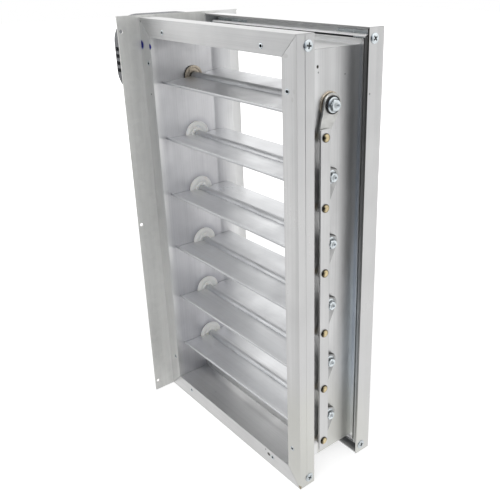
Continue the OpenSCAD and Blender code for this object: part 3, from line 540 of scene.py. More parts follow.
def half_outline(score):
    """The front half of the channel's section, from the middle of the web's duct side round to its other side:
    a is the place across the depth, b the height above the outer plane, which is at zero. score is the depth of
    the line along the strip. Returns the points and what each one belongs to."""
    f, m = -DEPTH / 2, (-DEPTH / 2 + BOSS_IN, -BOSS_DOWN)
    low = math.degrees(math.asin(STRIP / 2 / BOSS_R))
    slot_out = math.degrees(math.asin(0.9 / BOSS_R))
    slot_in = math.degrees(math.asin(0.9 / BOSS_BORE))
    rib = STRIP / 2
    groups = (
        (DUCT, [[f + WALL + 8, -RECESS - WEB]]), (RAMP, [[f + WALL, -FACE]]),
        (PLAIN, [[f, -FACE], [f, 0], [f + SCORE - 0.35, 0], [f + SCORE - 0.1, -score],
                 [f + SCORE + 0.1, -score], [f + SCORE + 0.35, 0], [f + STRIP_DEPTH - 0.5, 0]]),
        (EDGE, [[f + STRIP_DEPTH, 0], [f + STRIP_DEPTH, -STRIP]]),
        (INSIDE, [[f + STRIP_DEPTH - 0.5, -STRIP], [f + WALL, -STRIP], [f + WALL, -RECESS],
                  [m[0] - rib, -RECESS]]),
        (BOSS, arc(m, BOSS_R, -90 - low, -280, 11)), (LIP, arc(m, BOSS_R, -285, -360 + slot_out, 5)),
        (BORE, arc(m, BOSS_BORE, slot_in, 360 - slot_in, 13)),
        (FOOT, arc(m, BOSS_R, -slot_out, -90 + low, 6)), (FOOT, [[m[0] + rib, -RECESS]]),
        (BED, [[m[0] + rib + 0.5, -RECESS]]))
    return np.concatenate([p for _, p in groups]), np.concatenate([np.full(len(p), k) for k, p in groups])


def channel_outline():
    """The whole section: the front half, then its mirror image, then the seal groove on the duct side. Returns
    the points, what each one belongs to, and which of them are on the rear half."""
    (front, kinds), (back, back_kinds) = half_outline(0.2), half_outline(0.03)
    deep, g = -RECESS - WEB, GROOVE
    groove = [[g + 1.9, deep], [g + 0.9, deep + 0.45], [g - 0.9, deep + 0.45], [g - 1.9, deep]]
    rear = np.concatenate([np.zeros(len(front), bool), np.ones(len(back), bool), np.zeros(4, bool)])
    return (np.concatenate([front, back[::-1] * [-1, 1], groove]),
            np.concatenate([kinds, back_kinds[::-1], np.full(4, DUCT)]), rear)


def channel(name, length_mm, place, finish, painted_shade=()):
    """One frame member: the section carried along its length, and cut at 45 degrees at both ends, so each point of the
    outline starts and ends as far in as it lies below the outer plane. painted_shade says how dark a part of the
    section is painted, as painted shade in its edges, bores and recesses: which part, whether on the rear half, and how
    much at its two ends. Below zero it paints no colour, and only makes that part rougher and, on a chalky finish, less
    metallic."""
    outline, kinds, rear = channel_outline()
    reach = length_mm / 2 + outline[:, 1] - bpy.context.scene.damper_sizes.mitre
    points, faces = carried(outline, -reach, reach, place)
    shade_and_soil = np.zeros((2, len(outline)))
    for kind, behind, *amount in painted_shade:
        shade_and_soil[:, (kinds == kind) & (rear == behind)] = np.array(amount)[:, None]
    piece = shape(name + "_member", points, faces, finish, "frame", "frame_aluminium", 25, shade_and_soil.ravel())
    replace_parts(piece, name)
    cut(piece, [drill(place, 2.65, WALL * 4, (0, -face, 0)) for place, face in rivet_places(-WALL)], 25)
    return rounded(piece, bpy.context.scene.damper_sizes.edge)


def rivet_places(deep=0.0):
    """Where the rivets stand: two near each corner of the front and the rear face, and which face."""
    places = []
    for face in (-1, 1):
        for a in (-1, 1):
            for b in (-1, 1):
                for along, down in ((46.0, 12.4), (12.4, 46.0)):
                    spot = (WIDTH / 2 * (1 + a) - a * along, face * (DEPTH / 2 - deep), b * (HEIGHT / 2 - down))
                    places.append((spot, face))
    return places


def blade_chains():
    """A blade's section as two chains of the same length, from the front edge to the rear edge: the outer skin
    and the inner one. The panel has a lip turned up in front and down behind, and a tube along the middle. Half
    of each chain is the other half turned by 180 degrees."""
    e = bpy.context.scene.damper_sizes.blade_edge
    half, t, lip, tube = 39.75, 0.8, BLADE_LIP, 4.7
    flat = np.array([-33.0, -26.0, -20.0, NOTCH - 0.1, NOTCH + 0.1, -10.0, -6.5])
    outer = np.concatenate([[[-half + e, lip]], arc((-half + e, lip - e), e, 120, 180, 3),
                            arc((-half + 1.5, -t + 1.5), 1.5, 180, 270, 5),
                            np.stack([flat, np.full(7, -t)], -1)])
    inside = -half + 2 * t
    inner = np.concatenate([[[inside - e, lip]], arc((inside - e, lip - e), e, 60, 0, 3),
                            arc((inside + 0.7, t + 0.7), 0.7, 180, 270, 5), np.stack([flat, np.full(7, t)], -1)])
    low = math.degrees(math.asin(t / tube))
    under, over = arc((0, 0), tube, 180 + low, 360 - low, 17), arc((0, 0), tube, 180 - low, low, 17)
    return np.concatenate([outer, under, -inner[::-1]]), np.concatenate([inner, over, -outer[::-1]])


def blade(index):
    """One blade: its section carried along the shaft over many stations, each lifted a little by two slow
    waves, as rolled sheet is never quite flat. The ends are notched round the bushings, so a station lies
    farther out for the points beyond the notch, and each end is closed by a strip between the two chains."""
    a, b = blade_chains()
    outline = np.concatenate([a, b[::-1]])
    n, stations = len(outline), 49
    t = np.linspace(-1.0, 1.0, stations)[:, None]
    reach = np.where(np.abs(outline[:, 0]) > abs(NOTCH), BLADE_REACH, BLADE_REACH - NOTCH_DEEP)
    xs = WIDTH / 2 + t * reach
    trail = math.radians(6.0) if index == 0 else 0.0
    amount = bpy.context.scene.damper_sizes.ripple
    u = np.broadcast_to(outline[:, 0], (stations, n))
    v = np.broadcast_to(outline[:, 1], (stations, n))
    v = v + amount * np.sin(xs / 31.0 + index) * np.sin(u / 17.0 + 2 * index) * np.clip(np.abs(u) / 20, 0, 1)
    y = u * math.cos(trail) - v * math.sin(trail)
    z = u * math.sin(trail) + v * math.cos(trail) + SHAFTS[index]
    k = np.arange(len(a) - 1)
    near = np.stack([k, k + 1, n - 2 - k, n - 1 - k], -1)
    ends = near.tolist() + (near[:, ::-1] + (stations - 1) * n).tolist()
    # Painted shade: the lips' edges and the tube painted darker, and each blade's whole sheet darker by its own amount,
    # most on the lower blades.
    edge = np.abs(outline[:, 0])
    painted_shade = np.maximum(np.clip((edge - 39.3) / 0.3, 0, 1) * 0.06, BLADE_SHADE[index])
    painted_shade = np.where(edge < 4.9, 0.11, painted_shade)
    body = "drive_blade" if index == 0 else "linked_blade_%d" % (index + 1)
    piece = shape("blade_%d_sheet" % (index + 1), np.stack([xs, y, z], -1).reshape(-1, 3),
                  net(stations, n, round_columns=True) + ends, "blades", body, "blade_metal", 35,
                  np.tile(painted_shade, stations))
    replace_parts(piece, "blade_%d" % (index + 1))
    return piece


def bushing_profile(flange_r, flange_t, e, crown):
    """Radii and heights of a flanged bushing, closed in a ring: bore, sleeve, flange and its rounded rim. The
    flange's face stands crown higher in the middle of its width than at its rim and round its hub."""
    rim = fillet([[flange_r, 0], [flange_r, flange_t - crown], [flange_r * 0.8, flange_t + crown * 0.6],
                  [flange_r * 0.65, flange_t + crown * 0.4], [7.8, flange_t - crown], [7.2, flange_t + 0.6],
                  [4.05, flange_t + 0.6], [4.05, -3.4], [6.5, -3.4], [6.5, 0]],
                 [0.2, e * 0.6, e, e, 0.2, 0.2, 0.3, 0.2, 0.3, 0.2], 4)
    closed = np.concatenate([rim, rim[:1]])
    return closed[:, 0], closed[:, 1]


def bushings(name, node, rows, flange_r, flange_t, finish, slot, rim, crown):
    """Flanged bushings: one profile turned round each shaft, on both sides of the duct. rim is how much painted shade
    darkens the flange's rim and the bore of the bushings on the left wall.
    """
    e = bpy.context.scene.damper_sizes.disc_round
    radii, heights = bushing_profile(flange_r, flange_t, e, crown)
    parts = [turned(radii, heights, (x, 0, SHAFTS[i]), (way, 0, 0), 64) for i, x, way in rows]
    # painted shade round the flange's rim and in the bore
    painted_shade = np.maximum(np.clip((radii - flange_r + 0.25) / 0.2, 0, 1), np.clip((4.6 - radii) / 0.4, 0, 1))
    piece = shape(name, *join_parts(parts), finish, "frame", slot, 35,
                  np.concatenate([np.repeat(painted_shade, 64) * (rim if way > 0 and x < WIDTH / 2 else 0.0)
                                  for _, x, way in rows]))
    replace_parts(piece, node)
    return piece


def cross_radius(steps, reach, half):
    """The outline of a cross recess as a radius for each angle: the farther of two crossed bars' edges."""
    a = np.arange(steps) * 2 * np.pi / steps + 1e-9
    c, s = np.abs(np.cos(a)), np.abs(np.sin(a))
    flat = np.minimum(reach / c, half / s)
    tall = np.minimum(reach / s, half / c)
    return np.maximum(flat, tall)


def pan_screw(centre, sign, head_r, head_h, shank_r, shank_l, turn, base_shade):
    """A pan head screw: rings from the cross recess's floor up its walls, then over the dome, which falls with the
    radius as part of a circle does, down the rim, under the head and along the shank to its point. Returns its points,
    its faces and how much painted shade each point carries: dark in the cross recess, under the head and along the
    shank, and nowhere less than base_shade."""
    steps = 96
    cross = cross_radius(steps, head_r * 0.56, head_r * 0.15)
    deep = bpy.context.scene.damper_sizes.screw_recess
    one = np.ones(steps)
    part = np.array([0.0, 0.1, 0.25, 0.42, 0.6, 0.76, 0.9, 1.0])[:, None]
    over = cross * 1.05 * (1 - part) + head_r * part
    dome = 0.25 * head_h + 0.75 * head_h * np.sqrt(np.clip(1.02 - (over / head_r) ** 2, 0.0, 1.0))
    inner = [cross * 0.02, cross * 0.6, cross * 0.93]
    depth = [one * (head_h - deep), one * (head_h - deep), dome[0] - 0.1]
    rows = np.concatenate([inner, over, [one * head_r, one * shank_r, one * shank_r, one * 0.01]])
    tall = np.concatenate([depth, dome, [one * 0.0, one * 0.0, one * (1.5 - shank_l), one * -shank_l]])
    painted_shade = np.repeat(np.maximum([0.88, 0.88, 0.7] + [0.1] + [0.0] * 6 + [0.35] + [0.5] * 4, base_shade), steps)
    return (*rings(rows, tall, centre, sign, turn), painted_shade)


def hex_screw(centre, af, head_h, flange_r, shank_r, shank_l, turn):
    """A flanged hexagon head screw: a dished top, a chamfer that cuts the hexagon's corners back to a circle, the
    flats, and a flange with a soft rim. Returns its points, its faces and how much painted shade each point carries: in
    the dished top, where the flats meet the flange, and under the flange."""
    steps = 96
    a = np.arange(steps) * 2 * np.pi / steps
    hexagon = (af / 2) / np.cos((a + np.pi / 6) % (np.pi / 3) - np.pi / 6)
    one = np.ones(steps)
    face = np.minimum(hexagon * 0.97, af / 2 * 0.99)
    top = 1.2 + head_h
    rows = [one * 0.01, one * af * 0.2, one * af * 0.34, face, np.minimum(hexagon, af * 0.54), hexagon, hexagon,
            one * (flange_r * 0.93), one * flange_r, one * flange_r, one * shank_r, one * shank_r, one * 0.01]
    tall = [top - 0.9, top - 0.8, top - 0.05, top, top - 0.35, top - 0.75, 1.25, 0.75, 0.45, 0.0, 0.0,
            -shank_l + 1.0, -shank_l]
    painted_shade = np.repeat([0.55, 0.4, 0.0, 0.0, 0.0, 0.0, 0.75, 0.0, 0.0, 0.5, 0.5, 0.5, 0.5], steps)
    return (*rings(rows, tall, centre, 1, turn), painted_shade)


def link_pin(index):
    """A riveted link pin: tail, shank, collar, neck and a domed head, turned round one axis. Returns its points, its
    faces and how much painted shade each point carries: round the foot of the head and on the tail, and a painted
    reflection that darkens the head's front side."""
    back, front, neck = CRANK_X - 0.3, BAR_X + BAR_T, CRANK_X + CRANK_T + 0.3
    a = np.radians(np.linspace(0, 90, 9))
    head_r, head_h = PIN_HEAD
    dome = np.stack([head_r * np.cos(a), front + 0.35 + (head_h - 0.35) * np.sin(a)], -1)
    prof = np.concatenate([[[0, back - 0.9], [3.7, back - 0.9], [4, back - 0.6], [4, back], [2.9, back],
                            [2.9, neck], [4.4, neck], [4.4, BAR_X], [2.9, BAR_X], [2.9, front],
                            [head_r - 0.1, front]], dome])
    painted_shade = np.concatenate([np.full(9, 0.2), [1.0, 1.0, 1.0, 0.95, 0.85, 0.55, 0.15], np.zeros(len(prof) - 16)])
    points, faces = turned(prof[:, 0], prof[:, 1], (0, PIN_Y, SHAFTS[index] - PIN_DROP), steps=40)
    # Painted reflection: the head painted darker on its front side, as if it mirrored a dark room.
    left = (PIN_Y - points[:, 1]) / head_r * (points[:, 0] > front)
    return points, faces, np.maximum(np.repeat(painted_shade, 40), np.clip((left - 0.3) * 2.2, 0, 0.9))


def crank_surface(index, hub_r, step):
    """One crank: a rounded bar's section, carried from the hub's far end to the pin's far end. Its half width follows
    the hub's circle, the straight sides and the tip's circle, and its hub stands out by step. Returns its points, its
    faces and how much painted shade each point carries: a dark arc round the top of the hub of each linked crank."""
    tip_r, steps = 5.6, 61
    t = 0.5 - 0.5 * np.cos(np.linspace(0, np.pi, steps))
    s = -hub_r + (THROW + hub_r + tip_r) * t
    lean = (hub_r - tip_r) / THROW
    hub_end, tip_end = hub_r * lean, THROW + tip_r * lean
    side = hub_r * math.sqrt(1 - lean ** 2) + (s - hub_end) * (tip_r - hub_r) * math.sqrt(1 - lean ** 2) \
        / (tip_end - hub_end)
    half = np.where(s < hub_end, np.sqrt(np.maximum(hub_r ** 2 - s ** 2, 0)),
                    np.where(s > tip_end, np.sqrt(np.maximum(tip_r ** 2 - (s - THROW) ** 2, 0)), side))
    half = np.maximum(half, 0.01)
    e, thick = 0.35, CRANK_T
    w = np.concatenate([[-1, -1, -1 + 0.03, 1 - 0.03, 1, 1, 1 - 0.03, -1 + 0.03]])
    h = np.array([e, thick - e, thick, thick, thick - e, e, 0, 0])
    out = step * (1 - np.clip((s - hub_r - 2.4) / 2.0, 0, 1))
    across = half[:, None] * w[None]
    down = np.broadcast_to(s[:, None], across.shape)
    x = CRANK_X + out[:, None] + h[None]
    y = across * math.cos(CRANK_ANGLE) - down * math.sin(CRANK_ANGLE)
    z = -down * math.cos(CRANK_ANGLE) - across * math.sin(CRANK_ANGLE) + SHAFTS[index]
    points = np.stack([x, y, z], -1).reshape(-1, 3)
    m = len(w)
    ends = [list(range(m)), list(range((steps - 1) * m, steps * m))[::-1]]
    painted_shade = np.repeat(np.clip((-s - hub_r * 0.8) / (hub_r * 0.08), 0, 1) * (0.8 if index else 0.0), m)
    return points, net(steps, m, round_columns=True) + ends, painted_shade


def housing_outline(inset):
    """The housing's outline from the side, inset by a margin: a rectangle with large round corners."""
    w, low, high = HOUSE_W / 2 - inset, HOUSE_TOP - HOUSE_H + inset, HOUSE_TOP - inset
    return fillet([[-w, low], [w, low], [w, high], [-w, high]], HOUSE_CORNER - inset, 13)


def cover_shell(inset, rim, x0, x1):
    """The cover as a closed form: its outline carried from x0 to x1, and drawn in over a quarter circle of the
    radius rim on the way to its outer face."""
    a = np.linspace(0, np.pi / 2, 7)
    margin = np.concatenate([[0.0], rim * (1 - np.cos(a))]) + inset
    x = np.concatenate([[x0], x1 + rim * (1 - np.sin(a))])
    loops = np.stack([housing_outline(m) for m in margin])
    n = loops.shape[1]
    points = np.stack([np.broadcast_to(x[:, None], loops.shape[:2]), loops[..., 0], loops[..., 1]], -1)
    ends = [list(range(n)), list(range((len(x) - 1) * n, len(x) * n))[::-1]]
    return points.reshape(-1, 3), net(len(x), n, round_columns=True) + ends


def block(low, high):
    """A plain cutter from its lowest to its highest corner."""
    k = np.array([[i, j, m] for i in (0, 1) for j in (0, 1) for m in (0, 1)], float)
    faces = [[0, 1, 3, 2], [4, 6, 7, 5], [0, 4, 5, 1], [2, 3, 7, 6], [0, 2, 6, 4], [1, 5, 7, 3]]
    return np.array(low) + k * (np.array(high) - np.array(low)), faces


# ---- operators

class DamperOperator:
    bl_options = {"REGISTER"}


class DAMPER_OT_frame(DamperOperator, bpy.types.Operator):
    """Makes the four mitred channels of the frame"""
    bl_idname = "damper.frame"
    bl_label = "Frame"

    def execute(self, context):
        # Painted shade on each section: the rear strip's edge, the boss bores, lips and feet, and the left member's
        # duct side, darker towards its bottom. Values below zero paint nothing and only dull a part.
        channel("top_channel", WIDTH, lambda a, b, w: (WIDTH / 2 + w, a, HEIGHT / 2 + b), "rails",
                ((INSIDE, True, -0.9, -0.9), (EDGE, True, 0.5, 0.5), (BOSS, True, -0.9, -0.9), (LIP, True, -0.7, -0.7),
                 (BORE, True, 0.8, 0.8), (FOOT, True, 0.3, 0.3)))
        channel("bottom_channel", WIDTH, lambda a, b, w: (WIDTH / 2 + w, a, -HEIGHT / 2 - b), "rails")
        channel("side_channel_left", HEIGHT, lambda a, b, w: (-b, a, w), "left",
                ((DUCT, False, 0.34, 0.19), (DUCT, True, 0.16, 0.09)))
        channel("side_channel_right", HEIGHT, lambda a, b, w: (WIDTH + b, a, w), "right",
                ((INSIDE, True, -0.5, 0.0), (EDGE, True, 0.1, 0.95), (LIP, True, 0.2, 0.65), (BORE, True, 0.2, 0.2),
                 (BED, False, -0.05, -0.05), (BED, True, -0.05, -0.05)))
        return {"FINISHED"}


class DAMPER_OT_blades(DamperOperator, bpy.types.Operator):
    """Makes the blades with their lips and tubes"""
    bl_idname = "damper.blades"
    bl_label = "Blades"

    def execute(self, context):
        for index in range(6):
            blade(index)
        return {"FINISHED"}


class DAMPER_OT_bushings(DamperOperator, bpy.types.Operator):
    """Makes the nylon and bronze bushings of the blade shafts"""
    bl_idname = "damper.bushings"
    bl_label = "Bushings"

    def execute(self, context):
        both = [(i, x, way) for i in range(1, 6) for x, way in ((WALL_LEFT, 1), (WIDTH - WALL_LEFT, -1))]
        bushings("nylon_flanges", "nylon_bushings", both, 15.0, 2.0, "nylon", "nylon", 0.0, 0.8)
        bushings("bronze_flanges", "bronze_bushings", [(0, WALL_LEFT, 1), (0, WEB_X, 1)], 11.5, 1.4, "bronze",
                 "bronze", 0.9, 0.1)
        return {"FINISHED"}


class DAMPER_OT_linkage(DamperOperator, bpy.types.Operator):
    """Makes the link bar, cranks and link pins"""
    bl_idname = "damper.linkage"
    bl_label = "Linkage"

    def execute(self, context):
        edge = bpy.context.scene.damper_sizes.edge
        low, high = SHAFTS[5] - PIN_DROP - 10.0, SHAFTS[0] - PIN_DROP + 7.5
        outline = fillet([[PIN_Y - BAR_W / 2, low], [PIN_Y + BAR_W / 2, low], [PIN_Y + BAR_W / 2, high],
                          [PIN_Y - BAR_W / 2, high]], 0.8, 4)
        points, faces = carried(outline, BAR_X, BAR_X + BAR_T, lambda u, v, w: (w, u, v))
        bar = rounded(shape("link_strip", points, faces, "bar", "linkage", "bar_aluminium"), edge)
        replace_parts(bar, "link_bar")
        made = [link_pin(i) for i in range(6)]
        pins = shape("link_rivets", *join_parts([m[:2] for m in made]), "brass", "linkage", "brass", 30,
                     np.concatenate([m[2] for m in made]))
        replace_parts(pins, "link_pins")
        for i in range(6):
            body = "drive_blade" if i == 0 else "linked_blade_%d" % (i + 1)
            node = "drive_crank" if i == 0 else "crank_%d" % (i + 1)
            made = crank_surface(i, 10.2 if i == 0 else 9.0, CRANK_STEP if i == 0 else 0.0)
            piece = shape(node + "_arm", *made[:2], "crank" if i else "drive", body, "crank_steel", 30, made[2])
            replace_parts(piece, node)
        return {"FINISHED"}


class DAMPER_OT_screws(DamperOperator, bpy.types.Operator):
    """Makes the corner and plate screws, crank screws, drive bolt and washer"""
    bl_idname = "damper.screws"
    bl_label = "Screws"

    def execute(self, context):
        y, z = DEPTH / 2 - BOSS_IN, HEIGHT / 2 - BOSS_DOWN
        for name, node, x, sign in (("corner_pan_screws", "corner_screws", WIDTH, 1),
                                    ("plate_pan_screws", "plate_screws", -1.5, -1)):
            # The lower screws are painted a little darker all over, as painted shade.
            made = [pan_screw((x, a * y, b * z), sign, 4.8, 1.4, 1.5, 26.0, 0.4 * a + 0.25 * b, 0.05 - 0.15 * b)
                    for a in (-1, 1) for b in (-1, 1)]
            piece = shape(name, *join_parts([m[:2] for m in made]), "zinc", "frame", "screw_zinc", 28,
                          np.concatenate([m[2] for m in made]))
            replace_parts(piece, node)
        for i in range(1, 6):
            made = hex_screw((CRANK_X + CRANK_T, 0, SHAFTS[i]), 8.2, 3.0, 6.4, 1.6, 10.0, math.radians(17 * i))
            piece = shape("crank_hex_screw_%d" % (i + 1), *made[:2], "zinc", "linked_blade_%d" % (i + 1),
                          "screw_zinc", 28, made[2])
            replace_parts(piece, "crank_screw_%d" % (i + 1))
        seat = CRANK_X + CRANK_STEP + CRANK_T
        made = hex_screw((seat + 1.2, 0, SHAFTS[0]), 9.6, 2.7, 7.0, 2.35, 12.0, 0.35)
        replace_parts(shape("drive_hex_bolt", *made[:2], "zinc", "drive_blade", "screw_zinc", 28, made[2]),
                    "drive_bolt")
        ring = fillet([[2.6, 0], [8.3, 0], [8.3, 1.2], [2.6, 1.2]], 0.3, 4)
        ring = np.concatenate([ring, ring[:1]])
        part = turned(ring[:, 0], ring[:, 1], (seat, 0, SHAFTS[0]), steps=64)
        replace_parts(shape("drive_black_washer", *part, "rubber", "drive_blade", "black_washer"), "drive_washer")
        return {"FINISHED"}


class DAMPER_OT_rivets(DamperOperator, bpy.types.Operator):
    """Makes the flush rivets near the corners of both flange faces"""
    bl_idname = "damper.rivets"
    bl_label = "Rivets"

    def execute(self, context):
        radii = [0, 1.25, 1.3, 1.42, 1.65, 2.0, 2.45, 2.6, 2.6, 1.6, 1.6, 2.4, 2.1, 0]
        deep = [2.6, 2.5, 0.2, -0.15, -0.32, -0.28, -0.1, 0.1, 0.4, 1.1, 3.3, 3.3, 5.1, 5.5]
        # Painted shade in the centre hole and round the foot of the head.
        painted_shade = [1, 1, 1, 0.3, 0, 0, 0.15, 0.8, 1, 0.5, 0.5, 0.5, 0.5, 0.5]
        made = [turned(radii, deep, place, (0, -face, 0), 32) for place, face in rivet_places()]
        piece = shape("flush_rivets", *join_parts(made), "zinc", "frame", "frame_aluminium", 30,
                      np.tile(np.repeat(painted_shade, 32), len(made)))
        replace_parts(piece, "flange_rivets")
        return {"FINISHED"}


class DAMPER_OT_actuator(DamperOperator, bpy.types.Operator):
    """Makes the actuator's hollow cover with its slots, screw seats and button hole"""
    bl_idname = "damper.actuator"
    bl_label = "Actuator"

    def execute(self, context):
        low = HOUSE_TOP - HOUSE_H
        shell = cover_shell(0.0, COVER_ROUND, COVER_X0, COVER_X1)
        cover = shape("cover_shell", *shell, "housing", "frame", "housing_plastic", 35)
        inside = cover_shell(COVER_WALL, COVER_ROUND - COVER_WALL, COVER_X0 + 1.0, COVER_X1 + COVER_WALL)
        deep = context.scene.damper_sizes.slot_deep
        slots = [block((COVER_X1 + 4, side * HOUSE_W / 2 - deep, SHAFTS[0] + 2 + 7.8 * k),
                       (COVER_X1 + 31, side * HOUSE_W / 2 + deep, SHAFTS[0] + 6.4 + 7.8 * k))
                 for side in (-1, 1) for k in range(4)]
        seat_r, hole_r, seat = 3.8, 1.85, 1.6
        seats = [turned([0, seat_r, seat_r, hole_r, hole_r, 0], [-1, -1, seat, seat, 6, 6],
                        (COVER_X1, side * (HOUSE_W / 2 - 10), z), (1, 0, 0), 32)
                 for side in (-1, 1) for z in (low + 23.5, HOUSE_TOP - 23.5)]
        button = drill((COVER_X1 - 1, 0, low + 20), 6.3, 6, (1, 0, 0), 40)
        cable = drill((COVER_X0 - 12, 0, low - 4), 7.0, 10, (0, 0, 1), 40)
        for tools in ([inside], slots, seats, [button], [cable]):
            cut(cover, tools, 35)
        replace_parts(rounded(cover, 0.35, 2, 40), "actuator_cover")
        return {"FINISHED"}


class DAMPER_OT_finishes(DamperOperator, bpy.types.Operator):
    """Gives every CAD piece that still shows its finish"""
    bl_idname = "damper.finishes"
    bl_label = "Finishes"

    KINDS = {"frame_aluminium": "rails", "bracket_steel": "zinc", "screw_zinc": "zinc", "plate_steel": "plate",
             "bronze": "bronze", "nylon": "gear", "blade_metal": "blades", "shaft_steel": "steel",
             "crank_steel": "crank", "black_washer": "rubber", "bar_aluminium": "bar", "brass": "brass",
             "housing_plastic": "housing", "motor_metal": "motor", "board": "board",
             "terminal_plastic": "terminal", "button_plastic": "button", "grommet_rubber": "rubber"}

    def execute(self, context):
        for row in frame["record"]["subparts"]:
            mesh = frame["nodes"][row["node"]].data
            kind = FINISH[self.KINDS[row["material_slot"]]]
            if mesh.materials:
                for k in range(len(mesh.materials)):
                    mesh.materials[k] = kind
            else:
                mesh.materials.append(kind)
        return {"FINISHED"}


class DAMPER_OT_stage(DamperOperator, bpy.types.Operator):
    """Makes the floor, the lamps, the room light and the camera"""
    bl_idname = "damper.stage"
    bl_label = "Stage"

    def execute(self, context):
        self.floor(context)
        self.room(context)
        self.lamps(context)
        self.camera(context)
        context.scene.view_settings.view_transform = "Standard"
        return {"FINISHED"}

    def slope(self, tree, vector, ways, low, high, to_low, to_high):
        """A smooth change along one direction of a place or a direction."""
        dot = tree.nodes.new("ShaderNodeVectorMath")
        dot.operation = "DOT_PRODUCT"
        dot.inputs[1].default_value = ways
        tree.links.new(vector, dot.inputs[0])
        made = tree.nodes.new("ShaderNodeMapRange")
        made.interpolation_type = "SMOOTHSTEP"
        for key, number in zip(("From Min", "From Max", "To Min", "To Max"), (low, high, to_low, to_high)):
            made.inputs[key].default_value = number
        tree.links.new(dot.outputs["Value"], made.inputs["Value"])
        return made.outputs[0]

    def times(self, tree, a, b, how="MULTIPLY"):
        made = tree.nodes.new("ShaderNodeMath")
        made.operation = how
        for slot, value in enumerate((a, b)):
            if isinstance(value, float):
                made.inputs[slot].default_value = value
            else:
                tree.links.new(value, made.inputs[slot])
        return made.outputs[0]

    def tint(self, tree, side, light):
        """Makes a mirrored light bluish where it is dim."""
        mix = tree.nodes.new("ShaderNodeMix")
        mix.data_type = "RGBA"
        mix.inputs[6].default_value, mix.inputs[7].default_value = (0.62, 0.78, 1.0, 1.0), (1.0, 1.0, 1.0, 1.0)
        tree.links.new(side, mix.inputs[0])
        tree.links.new(mix.outputs[2], light.inputs["Color"])

    def floor(self, context):
        """The floor is pale and takes the object's shadow. Far away it turns to plain white, and in mirrors it
        is white, but dim towards the photographer's side of the room."""
        mat = bpy.data.materials.new("floor")
        mat.use_nodes = True
        tree = mat.node_tree
        tree.nodes.clear()
        out = tree.nodes.new("ShaderNodeOutputMaterial")
        skin = tree.nodes.new("ShaderNodeBsdfDiffuse")
        skin.inputs[0].default_value = (*context.scene.damper_stage.floor, 1)
        glow, mirrored, mirror_mix = (tree.nodes.new("ShaderNode" + kind) for kind in
                                      ("Emission", "Emission", "MixShader"))
        add = tree.nodes.new("ShaderNodeAddShader")
        rays = tree.nodes.new("ShaderNodeLightPath")
        where = tree.nodes.new("ShaderNodeNewGeometry").outputs["Position"]
        far = tree.nodes.new("ShaderNodeVectorMath")
        far.operation = "LENGTH"
        tree.links.new(where, far.inputs[0])
        fade = tree.nodes.new("ShaderNodeMapRange")
        fade.interpolation_type = "SMOOTHSTEP"
        for key, number in zip(("From Min", "From Max", "To Min", "To Max"), (0.4, 1.0, 0.5, 1.0)):
            fade.inputs[key].default_value = number
        tree.links.new(far.outputs["Value"], fade.inputs["Value"])
        tree.links.new(self.times(tree, fade.outputs[0], rays.outputs["Is Camera Ray"]), glow.inputs["Strength"])
        side = self.slope(tree, where, (0.66, -0.75, 0.0), 0.6, 1.05, 1.0, 0.03)
        front = self.slope(tree, where, (0.0, -1.0, 0.0), -0.02, 0.12, 0.97, 0.77)
        self.tint(tree, side, mirrored)
        tree.links.new(self.times(tree, side, front), mirrored.inputs["Strength"])
        tree.links.new(skin.outputs[0], add.inputs[0])
        tree.links.new(glow.outputs[0], add.inputs[1])
        shiny = self.times(tree, rays.outputs["Is Glossy Ray"], rays.outputs["Is Transmission Ray"], "MAXIMUM")
        tree.links.new(shiny, mirror_mix.inputs[0])
        tree.links.new(add.outputs[0], mirror_mix.inputs[1])
        tree.links.new(mirrored.outputs[0], mirror_mix.inputs[2])
        tree.links.new(mirror_mix.outputs[0], out.inputs[0])
        size, z = 6.0, -HEIGHT / 2 * MM - 0.0002
        mesh = bpy.data.meshes.new("floor")
        mesh.from_pydata([(-size, -size, z), (size, -size, z), (size, size, z), (-size, size, z)], [], [[0, 1, 2, 3]])
        mesh.materials.append(mat)
        plane = bpy.data.objects.new("floor", mesh)
        context.scene.collection.objects.link(plane)

    def room(self, context):
        """Room light: plain and pale for matt surfaces, white for the camera itself, and in mirrors white
        behind and above, and dim towards the photographer's side of the room."""
        world = bpy.data.worlds.new("room")
        context.scene.world = world
        world.use_nodes = True
        tree = world.node_tree
        tree.nodes.clear()
        out = tree.nodes.new("ShaderNodeOutputWorld")
        light, white, mirrored = (tree.nodes.new("ShaderNodeBackground") for _ in range(3))
        for one in (light, white, mirrored):
            one.inputs["Color"].default_value = (1, 1, 1, 1)
        light.inputs["Strength"].default_value = context.scene.damper_stage.sky
        where = tree.nodes.new("ShaderNodeTexCoord").outputs["Generated"]
        side = self.slope(tree, where, (0.66, -0.75, -0.28), 0.28, 0.83, 1.0, 0.08)
        above = self.slope(tree, where, (0.0, 0.0, 1.0), 0.05, 0.45, 1.0, 1.16)
        self.tint(tree, side, mirrored)
        tree.links.new(self.times(tree, side, above), mirrored.inputs["Strength"])
        rays = tree.nodes.new("ShaderNodeLightPath")
        shiny = self.times(tree, rays.outputs["Is Glossy Ray"], rays.outputs["Is Transmission Ray"], "MAXIMUM")
        first, second = (tree.nodes.new("ShaderNodeMixShader") for _ in range(2))
        for mix, amount, a, b in ((first, shiny, light.outputs[0], mirrored.outputs[0]),
                                  (second, rays.outputs["Is Camera Ray"], first.outputs[0], white.outputs[0])):
            tree.links.new(amount, mix.inputs[0])
            tree.links.new(a, mix.inputs[1])
            tree.links.new(b, mix.inputs[2])
        tree.links.new(second.outputs[0], out.inputs[0])

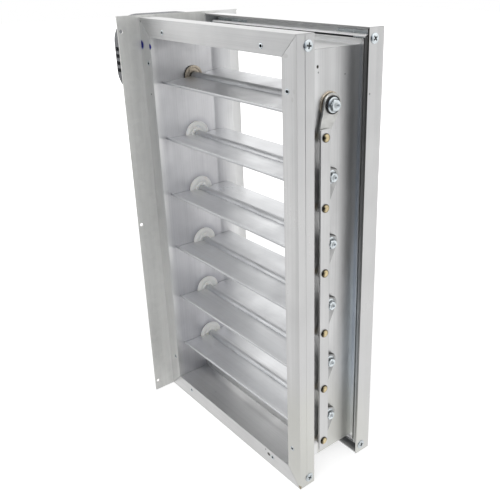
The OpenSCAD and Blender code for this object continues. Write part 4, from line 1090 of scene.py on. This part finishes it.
    def lamps(self, context):
        stage = context.scene.damper_stage
        for name, place, size, power in (("key", (0.7, -0.9, 1.5), 1.6, stage.key),
                                         ("fill", (-1.4, -0.9, 0.8), 1.4, stage.fill)):
            lamp = bpy.data.lights.new(name, "AREA")
            lamp.energy, lamp.size = power, size
            made = bpy.data.objects.new(name, lamp)
            made.location = place
            made.rotation_euler = (Vector((0.12, 0, 0)) - Vector(place)).to_track_quat("-Z", "Y").to_euler()
            context.scene.collection.objects.link(made)

    def camera(self, context):
        """The camera stands where the photograph's was, as found from the frame's corners."""
        cam = bpy.data.cameras.new("camera")
        cam.lens, cam.sensor_width = 47.18, 36.0
        cam.shift_x, cam.shift_y = -0.09, -0.036
        cam.clip_start, cam.clip_end = 0.01, 50.0
        made = bpy.data.objects.new("camera", cam)
        right, up, ahead = (0.6518, 0.7583, -0.0102), (-0.2817, 0.2545, 0.9251), (-0.7042, 0.6001, -0.3795)
        turn = Matrix([[right[k], up[k], -ahead[k]] for k in range(3)]).to_4x4()
        made.matrix_world = Matrix.Translation((0.6559, -0.3970, 0.2798)) @ turn
        context.scene.collection.objects.link(made)
        context.scene.camera = made


STEPS = ("frame", "blades", "bushings", "linkage", "screws", "rivets", "actuator", "finishes", "stage")


class DAMPER_PT_panel(bpy.types.Panel):
    """Lists the sizes, the colours and the steps"""
    bl_idname = "DAMPER_PT_panel"
    bl_label = "Zone Damper"
    bl_space_type = "VIEW_3D"
    bl_region_type = "UI"
    bl_category = "Damper"

    def draw(self, context):
        for group in (context.scene.damper_sizes, context.scene.damper_colours, context.scene.damper_stage):
            box = self.layout.box()
            for key in group.bl_rna.properties.keys():
                if key not in ("rna_type", "name"):
                    box.prop(group, key)
        for step in STEPS:
            self.layout.operator("damper." + step)


CLASSES = (DamperSizes, DamperColours, DamperStage, DAMPER_OT_frame, DAMPER_OT_blades, DAMPER_OT_bushings,
           DAMPER_OT_linkage, DAMPER_OT_screws, DAMPER_OT_rivets, DAMPER_OT_actuator, DAMPER_OT_finishes,
           DAMPER_OT_stage, DAMPER_PT_panel)


def register():
    for cls in CLASSES:
        bpy.utils.register_class(cls)
    bpy.types.Scene.damper_sizes = bpy.props.PointerProperty(type=DamperSizes)
    bpy.types.Scene.damper_colours = bpy.props.PointerProperty(type=DamperColours)
    bpy.types.Scene.damper_stage = bpy.props.PointerProperty(type=DamperStage)


def unregister():
    del bpy.types.Scene.damper_sizes, bpy.types.Scene.damper_colours, bpy.types.Scene.damper_stage
    for cls in reversed(CLASSES):
        bpy.utils.unregister_class(cls)


def main():
    register()
    FINISH.update(finishes())
    for step in STEPS:
        getattr(bpy.ops.damper, step)()


if __name__ == "__main__":
    main()
